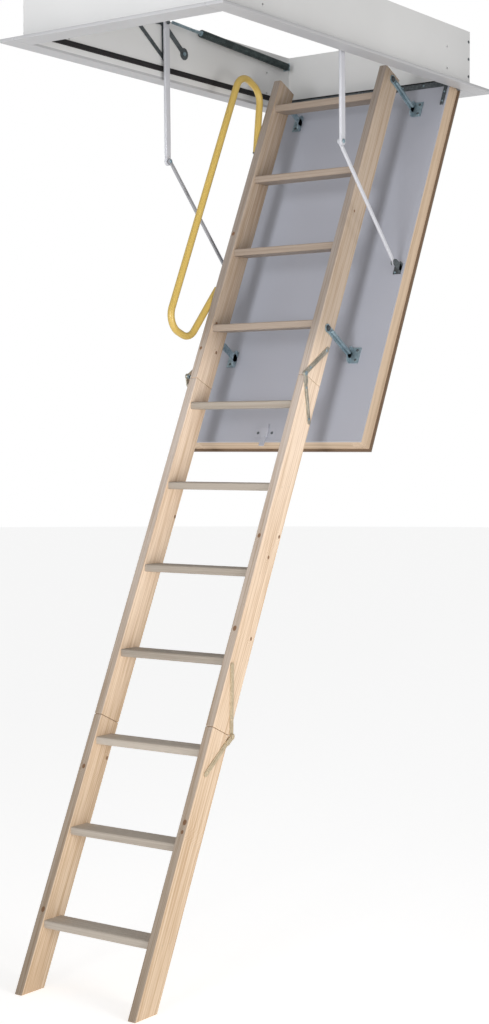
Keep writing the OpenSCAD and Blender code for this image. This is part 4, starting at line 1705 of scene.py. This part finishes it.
def sections(painted_light_tread: Finish, tread: Finish, painted_shade_tread: Finish,
             head: Finish) -> tuple[Section, ...]:
    """Sets out the three ladder sections with their own boards.

    Args:
        painted_light_tread: Finish of the three lowest treads, a paler copy of the tread wood that
            is painted light.
        tread: Finish of the middle treads.
        painted_shade_tread: Finish of the treads nearer the hatch, a darker copy of the tread wood
            that is painted shade.
        head: Finish of the screw heads.

    Returns:
        The sections, from the top.
    """
    # The top stiles carry painted shade near the ceiling frame.
    shaded = {"high_tone": (0.57, 0.565, 0.56)}
    top_left = pine("pine_top_left", [Knot(4, -545, 6, -212), Knot(22, -868, 6),
                                      Knot(2, -966, 5, -212), Knot(60, -953, 5)],
                    (-0.09, 0.15), **shaded)
    top_right = pine("pine_top_right", [Knot(30, -480, 4)], (0.35, 0.16), **shaded)
    middle_left = pine("pine_middle_left", [Knot(82, -1520, 5)], (-0.12, -0.06))
    middle_right = pine("pine_middle_right", [Knot(0, -1605, 6, 208), Knot(78, -1577, 5),
                                              Knot(52, -1654, 5), Knot(1, -1898, 7, 208),
                                              Knot(70, -1905, 5)], (0.34, 0.15))
    bottom_left = pine("pine_bottom_left", [Knot(2, -2360, 6, -206), Knot(80, -2310, 5),
                                            Knot(2, -2791, 7, -206)], (-0.08, 0.17))
    bottom_right = pine("pine_bottom_right", [Knot(3, -2480, 7, 212), Knot(-4, -2508, 5, 212)],
                        (0.36, 0.12))
    return (
        Section("top", Body.HATCH, -1071.5 * MM, 50 * MM, (7, 8, 9, 10), top_left, top_right,
                painted_shade_tread, head),
        Section("middle", Body.MIDDLE, -2196.5 * MM, -1072.5 * MM, (3, 4, 5, 6), middle_left,
                middle_right, tread, head),
        Section("bottom", Body.BOTTOM, -3130 * MM, -2197.5 * MM, (0, 1, 2), bottom_left,
                bottom_right, painted_light_tread, head),
    )


def main() -> None:
    """Builds every piece in order and reports it."""
    logging.basicConfig(level=logging.INFO, format="%(message)s")
    Studio().build(StudioFloor().build())
    paint = PaintedBoard("white_board", (0.70, 0.70, 0.695)).build()
    # The white trim is given a mid grey: painted shade on the underside of the ceiling frame.
    trim = PaintedBoard("trim_white_painted_shade", (0.46, 0.46, 0.47), rough=0.42, grain=0.15).build()
    rubber = SealRubber().build()
    dark = PlatedSteel("dark_plate", (0.15, 0.17, 0.18), (0.05, 0.058, 0.062), rough=0.42,
                       metallic=0.6).build()
    spring = PlatedSteel("oiled_spring_steel", (0.085, 0.11, 0.11), (0.03, 0.04, 0.042),
                         rough=0.36, metallic=0.7).build()
    plated = PlatedSteel("blue_galvanised", (0.42, 0.53, 0.58), (0.17, 0.24, 0.28),
                         metallic=0.65).build()
    zinc = PlatedSteel("pale_zinc", (0.62, 0.58, 0.49), (0.34, 0.31, 0.25)).build()
    passivated = PlatedSteel("yellow_zinc", (0.62, 0.52, 0.37), (0.42, 0.34, 0.22), rough=0.42,
                             metallic=0.45).build()
    white = PowderCoat("white_powder_coat", (0.54, 0.545, 0.58), rough=0.36).build()
    # A darker, bluer copy of the white powder coat: painted shade for the latch on the hatch's
    # underside.
    latch_white_painted_shade = PowderCoat("latch_white_painted_shade", (0.39, 0.40, 0.45), rough=0.45).build()
    yellow = PowderCoat("yellow_powder_coat", (0.56, 0.39, 0.095), rough=0.4, chips=0.5).build()
    crosswise = (0.0, pi / 2, 0.0)
    # One tread wood in three tones: the pale copy is painted light on the lowest treads, the dark
    # copy painted shade on the treads under the hatch.
    tread = PlanedPine("tread_beech", (0.40, 0.35, 0.295), (0.26, 0.215, 0.17), crosswise,
                       pith=(-0.1, 0.06), contrast=0.5, rough=0.5).build()
    painted_light_tread = PlanedPine("tread_beech_painted_light", (0.54, 0.48, 0.41), (0.36, 0.305, 0.25), crosswise,
                           pith=(-0.1, 0.05), contrast=0.5, rough=0.5).build()
    painted_shade_tread = PlanedPine("tread_beech_painted_shade", (0.36, 0.29, 0.235), (0.24, 0.185, 0.14), crosswise,
                             pith=(-0.12, 0.07), contrast=0.5, rough=0.5).build()
    rail_light, rail_dark = (0.60, 0.46, 0.33), (0.36, 0.25, 0.16)
    hatch_wood = pine("hatch_side_pine", light=rail_light, dark=rail_dark, pith=(0.30, 0.36),
                      low_tone=None)
    hatch_cross = PlanedPine("hatch_cross_pine", rail_light, rail_dark, crosswise,
                             pith=(0.1, 0.5)).build()
    CeilingFrame().build(paint, trim, rubber, dark)
    LiftingGear().build(white, dark, spring, plated)
    Hatch().build(FoilFace().build(), hatch_wood, hatch_cross, RigidFoam().build(), dark, plated,
                  zinc, latch_white_painted_shade)
    for section in sections(painted_light_tread, tread, painted_shade_tread, zinc):
        section.build()
    first = joint_place("upper_fold")
    second = joint_place("lower_fold")
    FoldHinge(1, ON_SLOPE.local(first.y, first.z), (76 * MM, -947 * MM), (76 * MM, -1197 * MM),
              Body.HATCH, Body.MIDDLE).build(zinc, plated)
    FoldHinge(2, ON_SLOPE.local(second.y, second.z), (12 * MM, -2007 * MM), (22 * MM, -2332 * MM),
              Body.MIDDLE, Body.BOTTOM).build(passivated, passivated)
    LadderBrackets().build(plated, dark)
    Handrail().build(yellow, plated)


if __name__ == "__main__":
    main()
